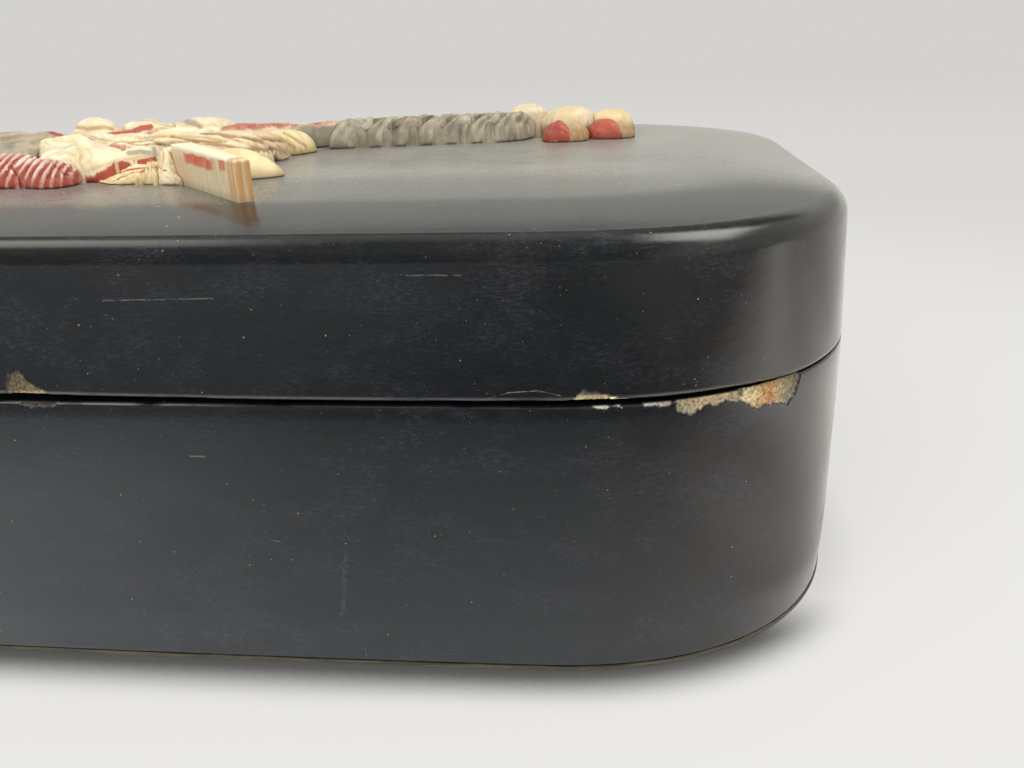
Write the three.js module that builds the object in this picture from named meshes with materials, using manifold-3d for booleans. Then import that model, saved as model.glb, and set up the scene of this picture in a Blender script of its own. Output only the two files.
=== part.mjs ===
// A long black lacquer box with round corners, a lift-off lid, and a carved and painted
// relief of birds' plumes, blossom and a pine bough set on the lid.
// Lengths are in millimetres. X runs along the box, Y from front to back, Z up from the table.
import * as THREE from "three";
import { mergeVertices } from "three/addons/utils/BufferGeometryUtils.js";
import Module from "manifold-3d";

// Plan of the box, the same for the body and the lid.
const HALF_LENGTH = 172;
const HALF_DEPTH = 115;
const CORNER_REACH = 74; // how far a corner's curve runs along each side
const CORNER_POWER = 2.38; // 2 is a circle's arc, more is squarer
const SIDE_BOW = 2.7; // how far the long sides swell in their middle
const CORNER_STEPS = 9;
const SIDE_STEPS = 6;
const END_STEPS = 1;

// Heights, each from the one below it, starting at the table.
const EDGE_HEIGHT = 1.1; // the bottom board's edge, left bare below the lacquer
const RIM_HEIGHT = 62.2; // the body's rim, where the lid rests
const LID_WALL_HEIGHT = 27.3; // the lid's side wall, up to where its panel sits
const SHOULDER_HEIGHT = 5.5; // the lid's rounded shoulder
const CROWN_HEIGHT = 3; // the rise of the sloping margin to the field that carries the relief

// Walls and fits.
const WALL = 6.2;
const FOOT_INSET = 0.6; // the body draws in this much towards its foot
const FOOT_RISE = 14; // height over which it does so
const BOARD = 4.6; // bottom board, full thickness
const BOARD_FIT = 0.2; // side clearance of the board and the panel inside their walls
const LIP_REACH = 7.8; // how far the inner lip stands above the body's rim
const LIP_SEAT = 12.2; // how far its seat lies below the rim
const LIP_THICKNESS = 2.4;
const LIP_FIT = 0.2; // clearance of the lip beside the body's wall
const LID_FIT = 0.4; // clearance of the lid's wall around the lip
const LIP_CHAMFER = 0.8;

// The lid.
const LID_ARCH = 1.8; // the warped lid's long edges stand this far off the rim in the middle
const REST_LENGTH = 12; // at each end, this much of the lid's edge lies flat on the rim
const SHOULDER_INSET = 4.5; // the shoulder's crest, in from the side
const SHOULDER_STEPS = 3;
const MARGIN = 25.5; // the sloping margin between the shoulder and the field
const PANEL_DROP = 1.4; // the panel's rebate inside the lid's wall

// Chips along the seam: place along the box, width, depth into the wall and height.
const CHIP_DEPTH = 1.6;
const LID_CHIP_PLACE = -4.7;
const LID_CHIP_WIDTH = 8.5;
const LID_CHIP_HEIGHT = 4.9;
const EDGE_CHIP_PLACE = 111;
const EDGE_CHIP_WIDTH = 9;
const EDGE_CHIP_HEIGHT = 2.4;
const CORNER_CHIP_TURN = 41; // degrees round the front right corner from the long side
const CORNER_CHIP_WIDTH = 15;
const CORNER_CHIP_HEIGHT = 4.2;
const CHIP_STEPS = 5;

// The relief. Its spray reaches these far from the edges of the field, and has one height.
const SPRAY_END_GAP = 20;
const SPRAY_FRONT_GAP = 1;
const RELIEF_HEIGHT = 10;
const PIECE_GAP = 0.3;
const CUT_OVERRUN = 2;
const SPLINE_STEPS = 14;

// How far the spray reaches along the box and to the front, in its own scale.
const SPRAY_REACH_SHARE = 1.22;
const SPRAY_FRONT_SHARE = 0.84;

// How a carved piece draws in towards its top: share of its outline, share of its height.
const DOME_SHARES = [[1, 0], [0.98, 0.4], [0.84, 0.78], [0.5, 0.97]];
const SLAB_SHARES = [[1, 0], [1, 0.96], [0.9, 1]];

// Outlines of carved pieces, in shares of a piece's length and width about its middle.
const OUTLINE_SHARES = {
  petal: [[-0.5, -0.14], [-0.2, -0.4], [0.15, -0.5], [0.43, -0.34], [0.5, 0],
    [0.43, 0.34], [0.15, 0.5], [-0.2, 0.4], [-0.5, 0.14]],
  leaf: [[-0.5, 0], [-0.28, -0.34], [0.04, -0.5], [0.32, -0.3], [0.5, 0],
    [0.3, 0.33], [0, 0.5], [-0.3, 0.32]],
  tongue: [[-0.5, -0.4], [-0.14, -0.5], [0.24, -0.32], [0.5, 0.02], [0.2, 0.36],
    [-0.16, 0.5], [-0.5, 0.42]],
  boulder: [[-0.5, -0.1], [-0.34, -0.42], [0.02, -0.5], [0.38, -0.4], [0.5, -0.04],
    [0.38, 0.36], [0.06, 0.5], [-0.34, 0.38]],
  fold: [[-0.5, -0.3], [-0.24, -0.5], [0.1, -0.36], [0.42, -0.46], [0.5, 0],
    [0.36, 0.44], [0, 0.5], [-0.36, 0.42]],
  strip: [[-0.5, -0.3], [-0.2, -0.5], [0.2, -0.42], [0.5, -0.1], [0.46, 0.34],
    [0.16, 0.2], [-0.2, 0.36], [-0.48, 0.5]],
  branch: [[-0.5, -0.3], [-0.22, -0.46], [0.06, -0.3], [0.34, -0.5], [0.5, -0.1],
    [0.44, 0.4], [0.14, 0.34], [-0.16, 0.5], [-0.46, 0.4]],
  slab: [[-0.5, -0.5], [0.5, -0.36], [0.5, 0.36], [-0.5, 0.5]],
};

// Single carved pieces: outline, colour, place along X and Y, length and width in shares of the
// spray, height in shares of the relief, and turn in degrees. A piece that lies over others
// comes before them, and they are cut clear of it.
const PIECE_SHARES = {
  wedge_slab: ["slab", "cream", 0.205, -0.667, 0.45, 0.052, 0.95, -49.6],
  knot_with_hole: ["boulder", "cream", 0.052, -0.52, 0.1, 0.11, 0.9, 20],
  pointed_petal: ["tongue", "cream", 0.205, -0.452, 0.2, 0.13, 0.76, 8],
  cream_boulder: ["boulder", "cream", -0.242, -0.43, 0.21, 0.19, 1, 8],
  long_pod: ["tongue", "cream", -0.075, -0.405, 0.23, 0.12, 0.82, 6],
  scalloped_leaf_left: ["petal", "cream", -0.095, -0.505, 0.14, 0.11, 0.52, -4],
  scalloped_leaf_right: ["petal", "cream", -0.01, -0.515, 0.12, 0.1, 0.52, -4],
  red_pleat_right: ["petal", "red", -0.285, -0.555, 0.17, 0.12, 0.72, -14],
  red_pleat_middle: ["petal", "red", -0.4, -0.53, 0.22, 0.17, 0.82, 20],
  red_pleat_left: ["petal", "red", -0.56, -0.52, 0.26, 0.19, 0.78, -168],
  folded_petal_front: ["fold", "cream", 0.085, -0.33, 0.27, 0.13, 0.8, -10],
  folded_petal_middle: ["fold", "cream", 0.03, -0.22, 0.34, 0.14, 0.98, 4],
  folded_petal_back: ["fold", "cream", 0.045, -0.085, 0.3, 0.16, 0.84, 14],
  ochre_leaf: ["leaf", "ochre", 0.125, 0.045, 0.24, 0.13, 0.74, 30],
  red_ribbon: ["strip", "red", 0.105, 0.205, 0.46, 0.09, 0.9, 28],
  wavy_petal: ["fold", "red", -0.36, 0.14, 0.22, 0.11, 0.8, 8],
  bud_left: ["boulder", "cream", -0.585, 0.27, 0.2, 0.2, 1.08, 0],
  bud_middle: ["boulder", "cream", -0.415, 0.265, 0.2, 0.19, 1, 30],
  bud_right: ["boulder", "cream", -0.2, 0.225, 0.27, 0.2, 1.04, 10],
  leaf_back_middle: ["leaf", "green", -0.33, 0.385, 0.28, 0.12, 0.62, 16],
  leaf_back_right: ["leaf", "green", 0.0, 0.345, 0.26, 0.13, 0.66, 22],
  cream_cap_left: ["boulder", "cream", 0.85, 0.475, 0.15, 0.13, 1.08, 10],
  cream_cap_middle: ["boulder", "cream", 0.99, 0.45, 0.18, 0.16, 1, 8],
  cream_cap_right: ["boulder", "cream", 1.135, 0.505, 0.17, 0.14, 0.84, 24],
  red_blossom_left: ["boulder", "red", 0.99, 0.315, 0.16, 0.14, 0.66, 10],
  red_blossom_right: ["boulder", "red", 1.14, 0.385, 0.16, 0.14, 0.62, 20],
  branch_right: ["branch", "ochre", -0.765, 0.13, 0.24, 0.1, 0.8, 6],
  branch_left: ["branch", "ochre", -0.99, 0.09, 0.26, 0.1, 0.76, 10],
  red_bud: ["petal", "red", -0.755, 0.245, 0.13, 0.12, 0.78, 70],
  leaf_back_left: ["leaf", "green", -0.92, 0.235, 0.26, 0.14, 0.6, 154],
  leaf_end_left: ["leaf", "green", -1.15, 0.225, 0.24, 0.13, 0.62, 160],
  leaf_front_left: ["leaf", "green", -0.93, -0.17, 0.28, 0.13, 0.56, -24],
  plume_front_left: ["leaf", "red", -0.84, -0.52, 0.38, 0.14, 0.62, -8],
  plume_middle_left: ["leaf", "cream", -0.77, -0.37, 0.42, 0.15, 0.7, 10],
  plume_back_left: ["leaf", "green", -0.7, -0.215, 0.38, 0.15, 0.7, 22],
  plume_inner_left: ["leaf", "ochre", -0.6, -0.04, 0.28, 0.14, 0.66, 40],
};

// Open flowers: a heart and petals round it, in the same shares. One petal of each is red.
const FLOWER_SHARES = {
  blossom: { x: -0.27, y: -0.12, heart: 0.14, reach: 0.15, petal: 0.24, height: 0.88, petals: 6 },
  end_blossom: { x: -1.12, y: -0.05, heart: 0.09, reach: 0.1, petal: 0.18, height: 0.74, petals: 4 },
};
const RED_PETAL = 3;

// The pine bough: slanting tufts side by side along a line.
const BOUGH_SHARES = {
  x: 0.32, y: 0.255, stepX: 0.08, stepY: 0.018, length: 0.24, width: 0.13, height: 0.96, turn: 46,
};
const TUFTS = 7;

const jointHeight = RIM_HEIGHT + LID_WALL_HEIGHT;
const fieldHeight = jointHeight + SHOULDER_HEIGHT + CROWN_HEIGHT;
const fieldInset = SHOULDER_INSET + MARGIN;
const spraySize = Math.min(
  (HALF_LENGTH - fieldInset - SPRAY_END_GAP) / SPRAY_REACH_SHARE,
  (HALF_DEPTH - fieldInset - SPRAY_FRONT_GAP) / SPRAY_FRONT_SHARE,
);

const MATERIALS = {
  lacquer: new THREE.MeshStandardMaterial({ color: 0x17181a, roughness: 0.32, metalness: 0 }),
  lacquer_inside: new THREE.MeshStandardMaterial({ color: 0x1c1a19, roughness: 0.5, metalness: 0 }),
  bare_board: new THREE.MeshStandardMaterial({ color: 0x5a5138, roughness: 0.75, metalness: 0 }),
  cream: new THREE.MeshStandardMaterial({ color: 0xd9cda6, roughness: 0.5, metalness: 0 }),
  red: new THREE.MeshStandardMaterial({ color: 0xa8352c, roughness: 0.5, metalness: 0 }),
  ochre: new THREE.MeshStandardMaterial({ color: 0xc49a5c, roughness: 0.55, metalness: 0 }),
  green: new THREE.MeshStandardMaterial({ color: 0x8b8a74, roughness: 0.6, metalness: 0 }),
};

const wasm = await Module();
wasm.setup();

// A geometry as a closed solid for cutting and joining.
function solidOf(geometry) {
  const bare = geometry.clone();
  bare.deleteAttribute("normal");
  bare.deleteAttribute("uv");
  const merged = mergeVertices(bare);
  const vertProperties = new Float32Array(merged.attributes.position.array);
  const triVerts = new Uint32Array(merged.index.array);
  return new wasm.Manifold(new wasm.Mesh({ numProp: 3, vertProperties, triVerts }));
}

// A solid as a geometry to draw.
function geometryOf(solid) {
  const mesh = solid.getMesh();
  const geometry = new THREE.BufferGeometry();
  geometry.setAttribute("position", new THREE.BufferAttribute(mesh.vertProperties, 3));
  geometry.setIndex(new THREE.BufferAttribute(mesh.triVerts, 1));
  geometry.computeVertexNormals();
  return geometry;
}

// One point of a corner's curve, for the quarter where X and Y are positive.
function cornerPoint(share, inset) {
  const reach = CORNER_REACH - inset;
  const angle = (share * Math.PI) / 2;
  const across = Math.cos(angle) ** (2 / CORNER_POWER);
  const along = Math.sin(angle) ** (2 / CORNER_POWER);
  return new THREE.Vector2(
    HALF_LENGTH - CORNER_REACH + reach * across,
    HALF_DEPTH - CORNER_REACH + reach * along,
  );
}

// The plan of the box drawn in by an inset, once round from the right-hand end.
function planOutline(inset) {
  const points = [];
  for (const [signX, signY] of [[1, 1], [-1, 1], [-1, -1], [1, -1]]) {
    const forwards = signX * signY > 0;
    for (let i = 0; i <= CORNER_STEPS; i++) {
      const share = (forwards ? i : CORNER_STEPS - i) / CORNER_STEPS;
      const corner = cornerPoint(share, inset);
      points.push(new THREE.Vector2(signX * corner.x, signY * corner.y));
    }
    const steps = forwards ? SIDE_STEPS : END_STEPS;
    const start = points[points.length - 1];
    const along = forwards ? -2 * start.x : 0;
    const across = forwards ? 0 : -2 * start.y;
    for (let i = 1; i < steps; i++) {
      points.push(new THREE.Vector2(start.x + (along * i) / steps, start.y + (across * i) / steps));
    }
  }
  for (const point of points) {
    point.y -= Math.sign(point.y) * SIDE_BOW * (point.x / (HALF_LENGTH - inset)) ** 2;
  }
  return points;
}

// How far the lid's lower edge stands off the rim at a place along the box.
function archAt(x) {
  const share = Math.min(Math.abs(x) / (HALF_LENGTH - REST_LENGTH), 1);
  return LID_ARCH * (1 - share ** 2);
}

// A solid lofted through rows of points. The lathe gives the grid of faces, and each of its
// points moves to its own place. A row of one point closes a face.
function loftedSolid(rows) {
  const columns = Math.max(...rows.map((row) => row.length));
  const lathe = new THREE.LatheGeometry(rows.map((row) => new THREE.Vector2(1, row[0].z)), columns);
  const position = lathe.attributes.position;
  rows.forEach((row, number) => {
    for (let column = 0; column <= columns; column++) {
      const { x, y, z } = row[column % row.length];
      position.setXYZ(column * rows.length + number, x, y, z);
    }
  });
  return solidOf(lathe);
}

// A solid or ring that follows the plan. Each profile point has an inset and a height, one with
// an arch also rises with the lid's edge, and one at the centre closes a face.
function planSolid(profile) {
  return loftedSolid(profile.map(({ inset, height, arch, centre }) => {
    const outline = centre ? [new THREE.Vector2()] : planOutline(inset);
    return outline.map(({ x, y }) => new THREE.Vector3(x, y, height + (arch ? archAt(x) : 0)));
  }));
}

// A rough pit bitten out of an edge: a flattened ball sunk into the wall's outer face.
function chip(place, height, width, tall, depth) {
  const ball = new THREE.SphereGeometry(1, 2 * CHIP_STEPS, CHIP_STEPS);
  ball.scale(width / 2, depth, tall);
  ball.rotateZ(place.turn);
  ball.translate(place.x, place.y, height);
  return solidOf(ball);
}

// The middle of a front side at a place along the box.
function frontPlace(x) {
  return { x, y: -HALF_DEPTH + SIDE_BOW * (x / HALF_LENGTH) ** 2, turn: 0 };
}

// A place on the front right corner, by degrees round from the long side.
function cornerPlace(degrees) {
  const corner = cornerPoint(1 - degrees / 90, 0);
  const bow = SIDE_BOW * (corner.x / HALF_LENGTH) ** 2;
  return { x: corner.x, y: bow - corner.y, turn: THREE.MathUtils.degToRad(degrees) };
}

function bodyWall() {
  const seat = RIM_HEIGHT - LIP_SEAT;
  const thick = WALL + LIP_FIT + LIP_THICKNESS;
  const wall = planSolid([
    { inset: thick, height: EDGE_HEIGHT },
    { inset: FOOT_INSET, height: EDGE_HEIGHT },
    { inset: 0, height: FOOT_RISE },
    { inset: 0, height: RIM_HEIGHT },
    { inset: WALL, height: RIM_HEIGHT },
    { inset: WALL, height: seat },
    { inset: thick, height: seat },
    { inset: thick, height: EDGE_HEIGHT },
  ]);
  const corner = cornerPlace(CORNER_CHIP_TURN);
  return wall.subtract(chip(corner, RIM_HEIGHT, CORNER_CHIP_WIDTH, CORNER_CHIP_HEIGHT, CHIP_DEPTH));
}

// The bottom board: its edge shows under the wall, and it is thicker inside it.
function bodyFloor() {
  const inside = WALL + LIP_FIT + LIP_THICKNESS + BOARD_FIT;
  return planSolid([
    { centre: true, height: 0 },
    { inset: FOOT_INSET, height: 0 },
    { inset: FOOT_INSET, height: EDGE_HEIGHT },
    { inset: inside, height: EDGE_HEIGHT },
    { inset: inside, height: BOARD },
    { centre: true, height: BOARD },
  ]);
}

// The ring that stands in the body's rebate and keeps the lid in place.
function innerLip() {
  const outside = WALL + LIP_FIT;
  const lidSide = WALL + LID_FIT;
  const inside = outside + LIP_THICKNESS;
  const top = RIM_HEIGHT + LIP_REACH;
  return planSolid([
    { inset: inside, height: RIM_HEIGHT - LIP_SEAT },
    { inset: outside, height: RIM_HEIGHT - LIP_SEAT },
    { inset: outside, height: RIM_HEIGHT - LIP_FIT },
    { inset: lidSide, height: RIM_HEIGHT },
    { inset: lidSide, height: top - LIP_CHAMFER },
    { inset: lidSide + LIP_CHAMFER, height: top },
    { inset: inside, height: top },
    { inset: inside, height: RIM_HEIGHT - LIP_SEAT },
  ]);
}

function lidWall() {
  const wall = planSolid([
    { inset: WALL, height: RIM_HEIGHT, arch: true },
    { inset: 0, height: RIM_HEIGHT, arch: true },
    { inset: 0, height: jointHeight },
    { inset: WALL, height: jointHeight },
    { inset: WALL, height: RIM_HEIGHT, arch: true },
  ]);
  const chips = [
    [LID_CHIP_PLACE, LID_CHIP_WIDTH, LID_CHIP_HEIGHT],
    [EDGE_CHIP_PLACE, EDGE_CHIP_WIDTH, EDGE_CHIP_HEIGHT],
  ];
  return chips.reduce((solid, [x, width, tall]) => {
    const height = RIM_HEIGHT + archAt(x);
    return solid.subtract(chip(frontPlace(x), height, width, tall, CHIP_DEPTH));
  }, wall);
}

// The lid's panel: a rebate inside the wall, a rounded shoulder, a sloping margin and the field.
function lidTop() {
  const shoulder = [];
  for (let i = 0; i <= SHOULDER_STEPS; i++) {
    const angle = (i / SHOULDER_STEPS) * (Math.PI / 2);
    shoulder.push({
      inset: SHOULDER_INSET * (1 - Math.cos(angle)),
      height: jointHeight + SHOULDER_HEIGHT * Math.sin(angle),
    });
  }
  return planSolid([
    { centre: true, height: jointHeight - PANEL_DROP },
    { inset: WALL + BOARD_FIT, height: jointHeight - PANEL_DROP },
    { inset: WALL + BOARD_FIT, height: jointHeight },
    ...shoulder,
    { inset: fieldInset, height: fieldHeight },
    { centre: true, height: fieldHeight },
  ]);
}

// A closed outline in real sizes from shares of a length and a width. A slab keeps its corners.
function pieceOutline(kind, length, width) {
  const corners = OUTLINE_SHARES[kind].map(([x, y]) => new THREE.Vector3(x * length, y * width, 0));
  const curve = new THREE.CatmullRomCurve3(corners, true, "centripetal");
  return kind === "slab" ? corners : curve.getPoints(SPLINE_STEPS).slice(0, -1);
}

// One carved piece, flat underneath on the field and rounded above, and the prism that keeps
// its neighbours clear of it.
function carvedPiece([kind, , x, y, length, width, height, turn]) {
  const outline = pieceOutline(kind, length * spraySize, width * spraySize);
  const place = new THREE.Matrix4()
    .makeRotationZ(THREE.MathUtils.degToRad(turn))
    .setPosition(x * spraySize, y * spraySize, fieldHeight);
  const rings = kind === "slab" ? SLAB_SHARES : DOME_SHARES;
  const rows = rings.map(([drawnIn, rise]) => outline.map((point) =>
    new THREE.Vector3(point.x * drawnIn, point.y * drawnIn, height * RELIEF_HEIGHT * rise)));
  rows.unshift([new THREE.Vector3()]);
  rows.push([new THREE.Vector3(0, 0, height * RELIEF_HEIGHT)]);
  const solid = loftedSolid(rows.map((row) => row.map((point) => point.applyMatrix4(place))));
  const clearance = new THREE.ExtrudeGeometry(new THREE.Shape(outline), {
    depth: 2 * (RELIEF_HEIGHT + CUT_OVERRUN),
    bevelThickness: 0,
    bevelSize: 0,
    bevelOffset: PIECE_GAP,
    bevelSegments: 0,
  });
  clearance.translate(0, 0, -RELIEF_HEIGHT - CUT_OVERRUN);
  return { solid, clearance: solidOf(clearance.applyMatrix4(place)) };
}

// The largest of a solid's separate bodies, so that a sliver cut loose is left out.
function mainBody(solid) {
  return solid.decompose().sort((a, b) => b.volume() - a.volume())[0];
}

function flowerShares(name, { x, y, heart, reach, petal, height, petals }) {
  const pieces = { [name + "_heart"]: ["boulder", "ochre", x, y, heart, heart, height, 0] };
  for (let i = 0; i < petals; i++) {
    const turn = (360 * i) / petals;
    const angle = THREE.MathUtils.degToRad(turn);
    const colour = i + 1 === RED_PETAL ? "red" : "cream";
    pieces[name + "_petal_" + (i + 1)] = ["petal", colour, x + reach * Math.cos(angle),
      y + reach * Math.sin(angle), petal, petal, height, turn];
  }
  return pieces;
}

function boughShares({ x, y, stepX, stepY, length, width, height, turn }) {
  const pieces = {};
  for (let i = 0; i < TUFTS; i++) {
    pieces["pine_tuft_" + (i + 1)] =
      ["leaf", "green", x + stepX * i, y + stepY * i, length, width, height, turn];
  }
  return pieces;
}

// Every carved piece of the relief, those that lie over others first.
function reliefShares() {
  const flowers = Object.entries(FLOWER_SHARES).map(([name, shares]) => flowerShares(name, shares));
  return Object.assign({}, PIECE_SHARES, ...flowers, boughShares(BOUGH_SHARES));
}

function reliefSolids() {
  const clearances = [];
  const solids = {};
  for (const [name, shares] of Object.entries(reliefShares())) {
    const piece = carvedPiece(shares);
    solids[name] = mainBody(clearances.reduce((rest, other) => rest.subtract(other), piece.solid));
    clearances.push(piece.clearance);
  }
  return solids;
}

function named(name, solid, slot) {
  const mesh = new THREE.Mesh(geometryOf(solid), MATERIALS[slot]);
  mesh.name = name;
  return mesh;
}

const box = new THREE.Group();
box.name = "lacquer_box";
box.add(named("body_floor", bodyFloor(), "bare_board"));
box.add(named("body_wall", bodyWall(), "lacquer"));
box.add(named("inner_lip", innerLip(), "lacquer_inside"));
box.add(named("lid_wall", lidWall(), "lacquer"));
box.add(named("lid_top", lidTop(), "lacquer"));
const shares = reliefShares();
for (const [name, solid] of Object.entries(reliefSolids())) {
  box.add(named(name, solid, shares[name][1]));
}

export default box;
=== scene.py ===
import itertools
import math

import bpy
import numpy as np
from mathutils import Matrix, Vector
from mathutils.geometry import delaunay_2d_cdt


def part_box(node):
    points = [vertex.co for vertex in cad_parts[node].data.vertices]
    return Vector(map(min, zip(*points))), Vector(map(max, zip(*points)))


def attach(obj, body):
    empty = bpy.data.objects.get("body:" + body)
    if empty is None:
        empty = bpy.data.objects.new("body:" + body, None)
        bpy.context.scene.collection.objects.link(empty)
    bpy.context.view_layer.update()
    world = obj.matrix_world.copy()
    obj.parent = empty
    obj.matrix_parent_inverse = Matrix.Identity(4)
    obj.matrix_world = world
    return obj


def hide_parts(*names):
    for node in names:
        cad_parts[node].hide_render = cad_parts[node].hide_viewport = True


# Lengths below are in millimetres, and MM turns them into Blender's metres.
MM = 0.001
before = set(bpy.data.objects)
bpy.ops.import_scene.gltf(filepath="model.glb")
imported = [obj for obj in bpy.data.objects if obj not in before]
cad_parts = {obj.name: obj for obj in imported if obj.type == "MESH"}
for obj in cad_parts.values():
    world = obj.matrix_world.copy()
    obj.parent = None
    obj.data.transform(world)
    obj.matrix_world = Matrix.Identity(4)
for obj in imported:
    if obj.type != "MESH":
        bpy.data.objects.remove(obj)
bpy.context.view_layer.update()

# Plan of the box, as in the CAD part.
HALF_LENGTH = 172
HALF_DEPTH = 115
CORNER_REACH = 74
CORNER_POWER = 2.38
SIDE_BOW = 2.7

# Heights and walls, as in the CAD part.
EDGE_HEIGHT = 1.1
RIM_HEIGHT = 62.2
JOINT_HEIGHT = 89.5
FIELD_HEIGHT = 98
CROWN_HEIGHT = 2.3
SHOULDER_ROUND = 5.4
CREASE_TILT = 10  # degrees from level where the shoulder starts below the lid's crease
WALL = 6.2
FOOT_INSET = 0.6
FOOT_RISE = 14
BOARD = 4.6
LIP_REACH = 7.8
LIP_SEAT = 12.2
LIP_THICKNESS = 2.4
LIP_FIT = 0.2
LID_FIT = 0.4
LID_ARCH = 1.8
REST_LENGTH = 12
MARGIN = 28
LID_LEAN = 1.25  # how far the lid's wall leans in from its lower edge to its shoulder
PANEL_DROP = 1.4
CROWN_POWER = 2.2  # the margin rises most near its shoulder and eases into the field
BOARD_FIT = 0.2
LIP_INSIDE = WALL + LIP_FIT + LIP_THICKNESS
SEAT_HEIGHT = RIM_HEIGHT - LIP_SEAT
CREASE_HEIGHT = FIELD_HEIGHT - CROWN_HEIGHT

# How finely the shells are meshed: the spacing round the plan, and finer where the seam is chipped.
COARSE_PITCH = 1.3
FINE_PITCH = 0.26
SHARP_ANGLE = 40  # edges steeper than this, in degrees, stay sharp
CARVED_SHARP_ANGLE = 70
CHIPPED_RUNS = [(-12, 5), (88, 166)]  # from the front's middle towards the right, in mm


# Steady noise for shapes.

HASH_PRIMES = (374761393, 668265263, 2147483647)
HASH_MIX = 0x9E3779B1
HASH_MASK = 0xFFFFFFFF


def hashed(cells, seed):
    """A steady random number from 0 to 1 for each whole-number cell."""
    mixed = np.full(cells.shape[:-1], (seed + 1) * HASH_MIX & HASH_MASK, np.uint64)
    for axis in range(cells.shape[-1]):
        part = cells[..., axis].astype(np.int64).astype(np.uint64)
        mixed = ((mixed ^ (part * np.uint64(HASH_PRIMES[axis]))) & np.uint64(HASH_MASK))
        mixed = (mixed * np.uint64(HASH_MIX)) & np.uint64(HASH_MASK)
        mixed ^= mixed >> np.uint64(15)
    return mixed / (HASH_MASK + 1)


def noise(points, size, seed=0):
    """Smooth noise from -1 to 1, with features of about this size."""
    scaled = np.asarray(points, float) / size
    whole = np.floor(scaled)
    part = scaled - whole
    part = part * part * (3 - 2 * part)
    total = 0
    for corner in itertools.product((0, 1), repeat=scaled.shape[-1]):
        weight = np.prod(np.where(corner, part, 1 - part), axis=-1)
        total = total + weight * hashed(whole + corner, seed)
    return 2 * total - 1


def rough(points, size, seed=0, layers=3):
    """Noise with finer layers on it, still about -1 to 1."""
    return sum(noise(points, size / 2**i, seed + i) / 2**i for i in range(layers)) / 1.5


def ease(low, high, value):
    """0 below low, 1 above high, and a smooth step between them."""
    share = np.clip((value - low) / (high - low), 0, 1)
    return share * share * (3 - 2 * share)


def fall(low, high, value):
    """1 below low, 0 above high, and a smooth step between them."""
    return 1 - ease(low, high, value)


def bell(value, width):
    """1 where the value is 0, and less within about this width on both sides."""
    return np.exp(-(value / width) ** 2)


# The shells: rows of points round one plan.

def plan_curve():
    """The plan once round from the front's middle, anticlockwise, as centres and directions:
    centre + (CORNER_REACH - inset) * direction is a point of the plan drawn in by an inset."""
    across, along = HALF_LENGTH - CORNER_REACH, HALF_DEPTH - CORNER_REACH
    steps = np.linspace(0, 1, 600)
    turn = steps * math.pi / 2
    arc = np.stack([np.sin(turn), np.cos(turn)], 1) ** (2 / CORNER_POWER)
    centres, directions = [], []

    def side(start, end, direction):
        line = np.outer(1 - steps, start) + np.outer(steps, end)
        centres.append(line)
        directions.append(np.tile(np.array(direction, float), (len(steps), 1)))

    def corner(sign_x, sign_y, forwards):
        shares = arc if forwards else arc[::-1]
        centres.append(np.tile([sign_x * across, sign_y * along], (len(steps), 1)))
        directions.append(shares * [sign_x, sign_y])

    side((0, -along), (across, -along), (0, -1))
    corner(1, -1, True)
    side((across, -along), (across, along), (1, 0))
    corner(1, 1, False)
    side((across, along), (-across, along), (0, 1))
    corner(-1, 1, True)
    side((-across, along), (-across, -along), (-1, 0))
    corner(-1, -1, False)
    side((-across, -along), (0, -along), (0, -1))
    return np.concatenate(centres), np.concatenate(directions)


def drawn_in(centres, directions, inset):
    """Points of the plan drawn in by an inset, one for all points or one for each."""
    points = centres + (CORNER_REACH - np.reshape(inset, (-1, 1))) * directions
    reach = np.clip(points[:, 1] / (HALF_DEPTH - CORNER_REACH), -1, 1)
    points[:, 1] -= reach * SIDE_BOW * (points[:, 0] / (HALF_LENGTH - np.asarray(inset))) ** 2
    return points


def plan_columns():
    """The shells' columns: centres, directions, outward normals and ways round from the front's middle."""
    centres, directions = plan_curve()
    outline = drawn_in(centres, directions, 0)
    lengths = np.concatenate([[0], np.cumsum(np.linalg.norm(np.diff(outline, axis=0), axis=1))])
    whole = lengths[-1]
    ways = [0.0]
    while ways[-1] < whole - FINE_PITCH:
        here = ways[-1]
        fine = any(low <= here <= high or low <= here - whole <= high for low, high in CHIPPED_RUNS)
        ways.append(here + (FINE_PITCH if fine else COARSE_PITCH))
    ways = np.array(ways[:-1])
    pick = [np.interp(ways, lengths, values[:, axis]) for values in (centres, directions) for axis in (0, 1)]
    centres, directions = np.stack(pick[:2], 1), np.stack(pick[2:], 1)
    outline = drawn_in(centres, directions, 0)
    tangent = np.roll(outline, -1, 0) - np.roll(outline, 1, 0)
    normals = np.stack([tangent[:, 1], -tangent[:, 0]], 1) / np.linalg.norm(tangent, axis=1)[:, None]
    ways = np.where(ways > whole / 2, ways - whole, ways)
    return centres, directions, normals, ways


CENTRES, DIRECTIONS, NORMALS, WAYS = plan_columns()
COLUMNS = len(WAYS)


def plan_row(inset, height):
    """One row of points round the plan, in mm, as columns x 3."""
    outline = drawn_in(CENTRES, DIRECTIONS, inset)
    return np.column_stack([outline, np.broadcast_to(height, COLUMNS)])


def new_mesh(name, points, faces, sharp_angle=SHARP_ANGLE):
    """An object from points in mm and faces as lists of point numbers."""
    mesh = bpy.data.meshes.new(name)
    mesh.from_pydata((np.asarray(points) * MM).tolist(), [], faces)
    mesh.validate()
    mesh.shade_smooth()
    mesh.set_sharp_from_angle(angle=math.radians(sharp_angle))
    shape = bpy.data.objects.new(name, mesh)
    bpy.context.scene.collection.objects.link(shape)
    return shape


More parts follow.
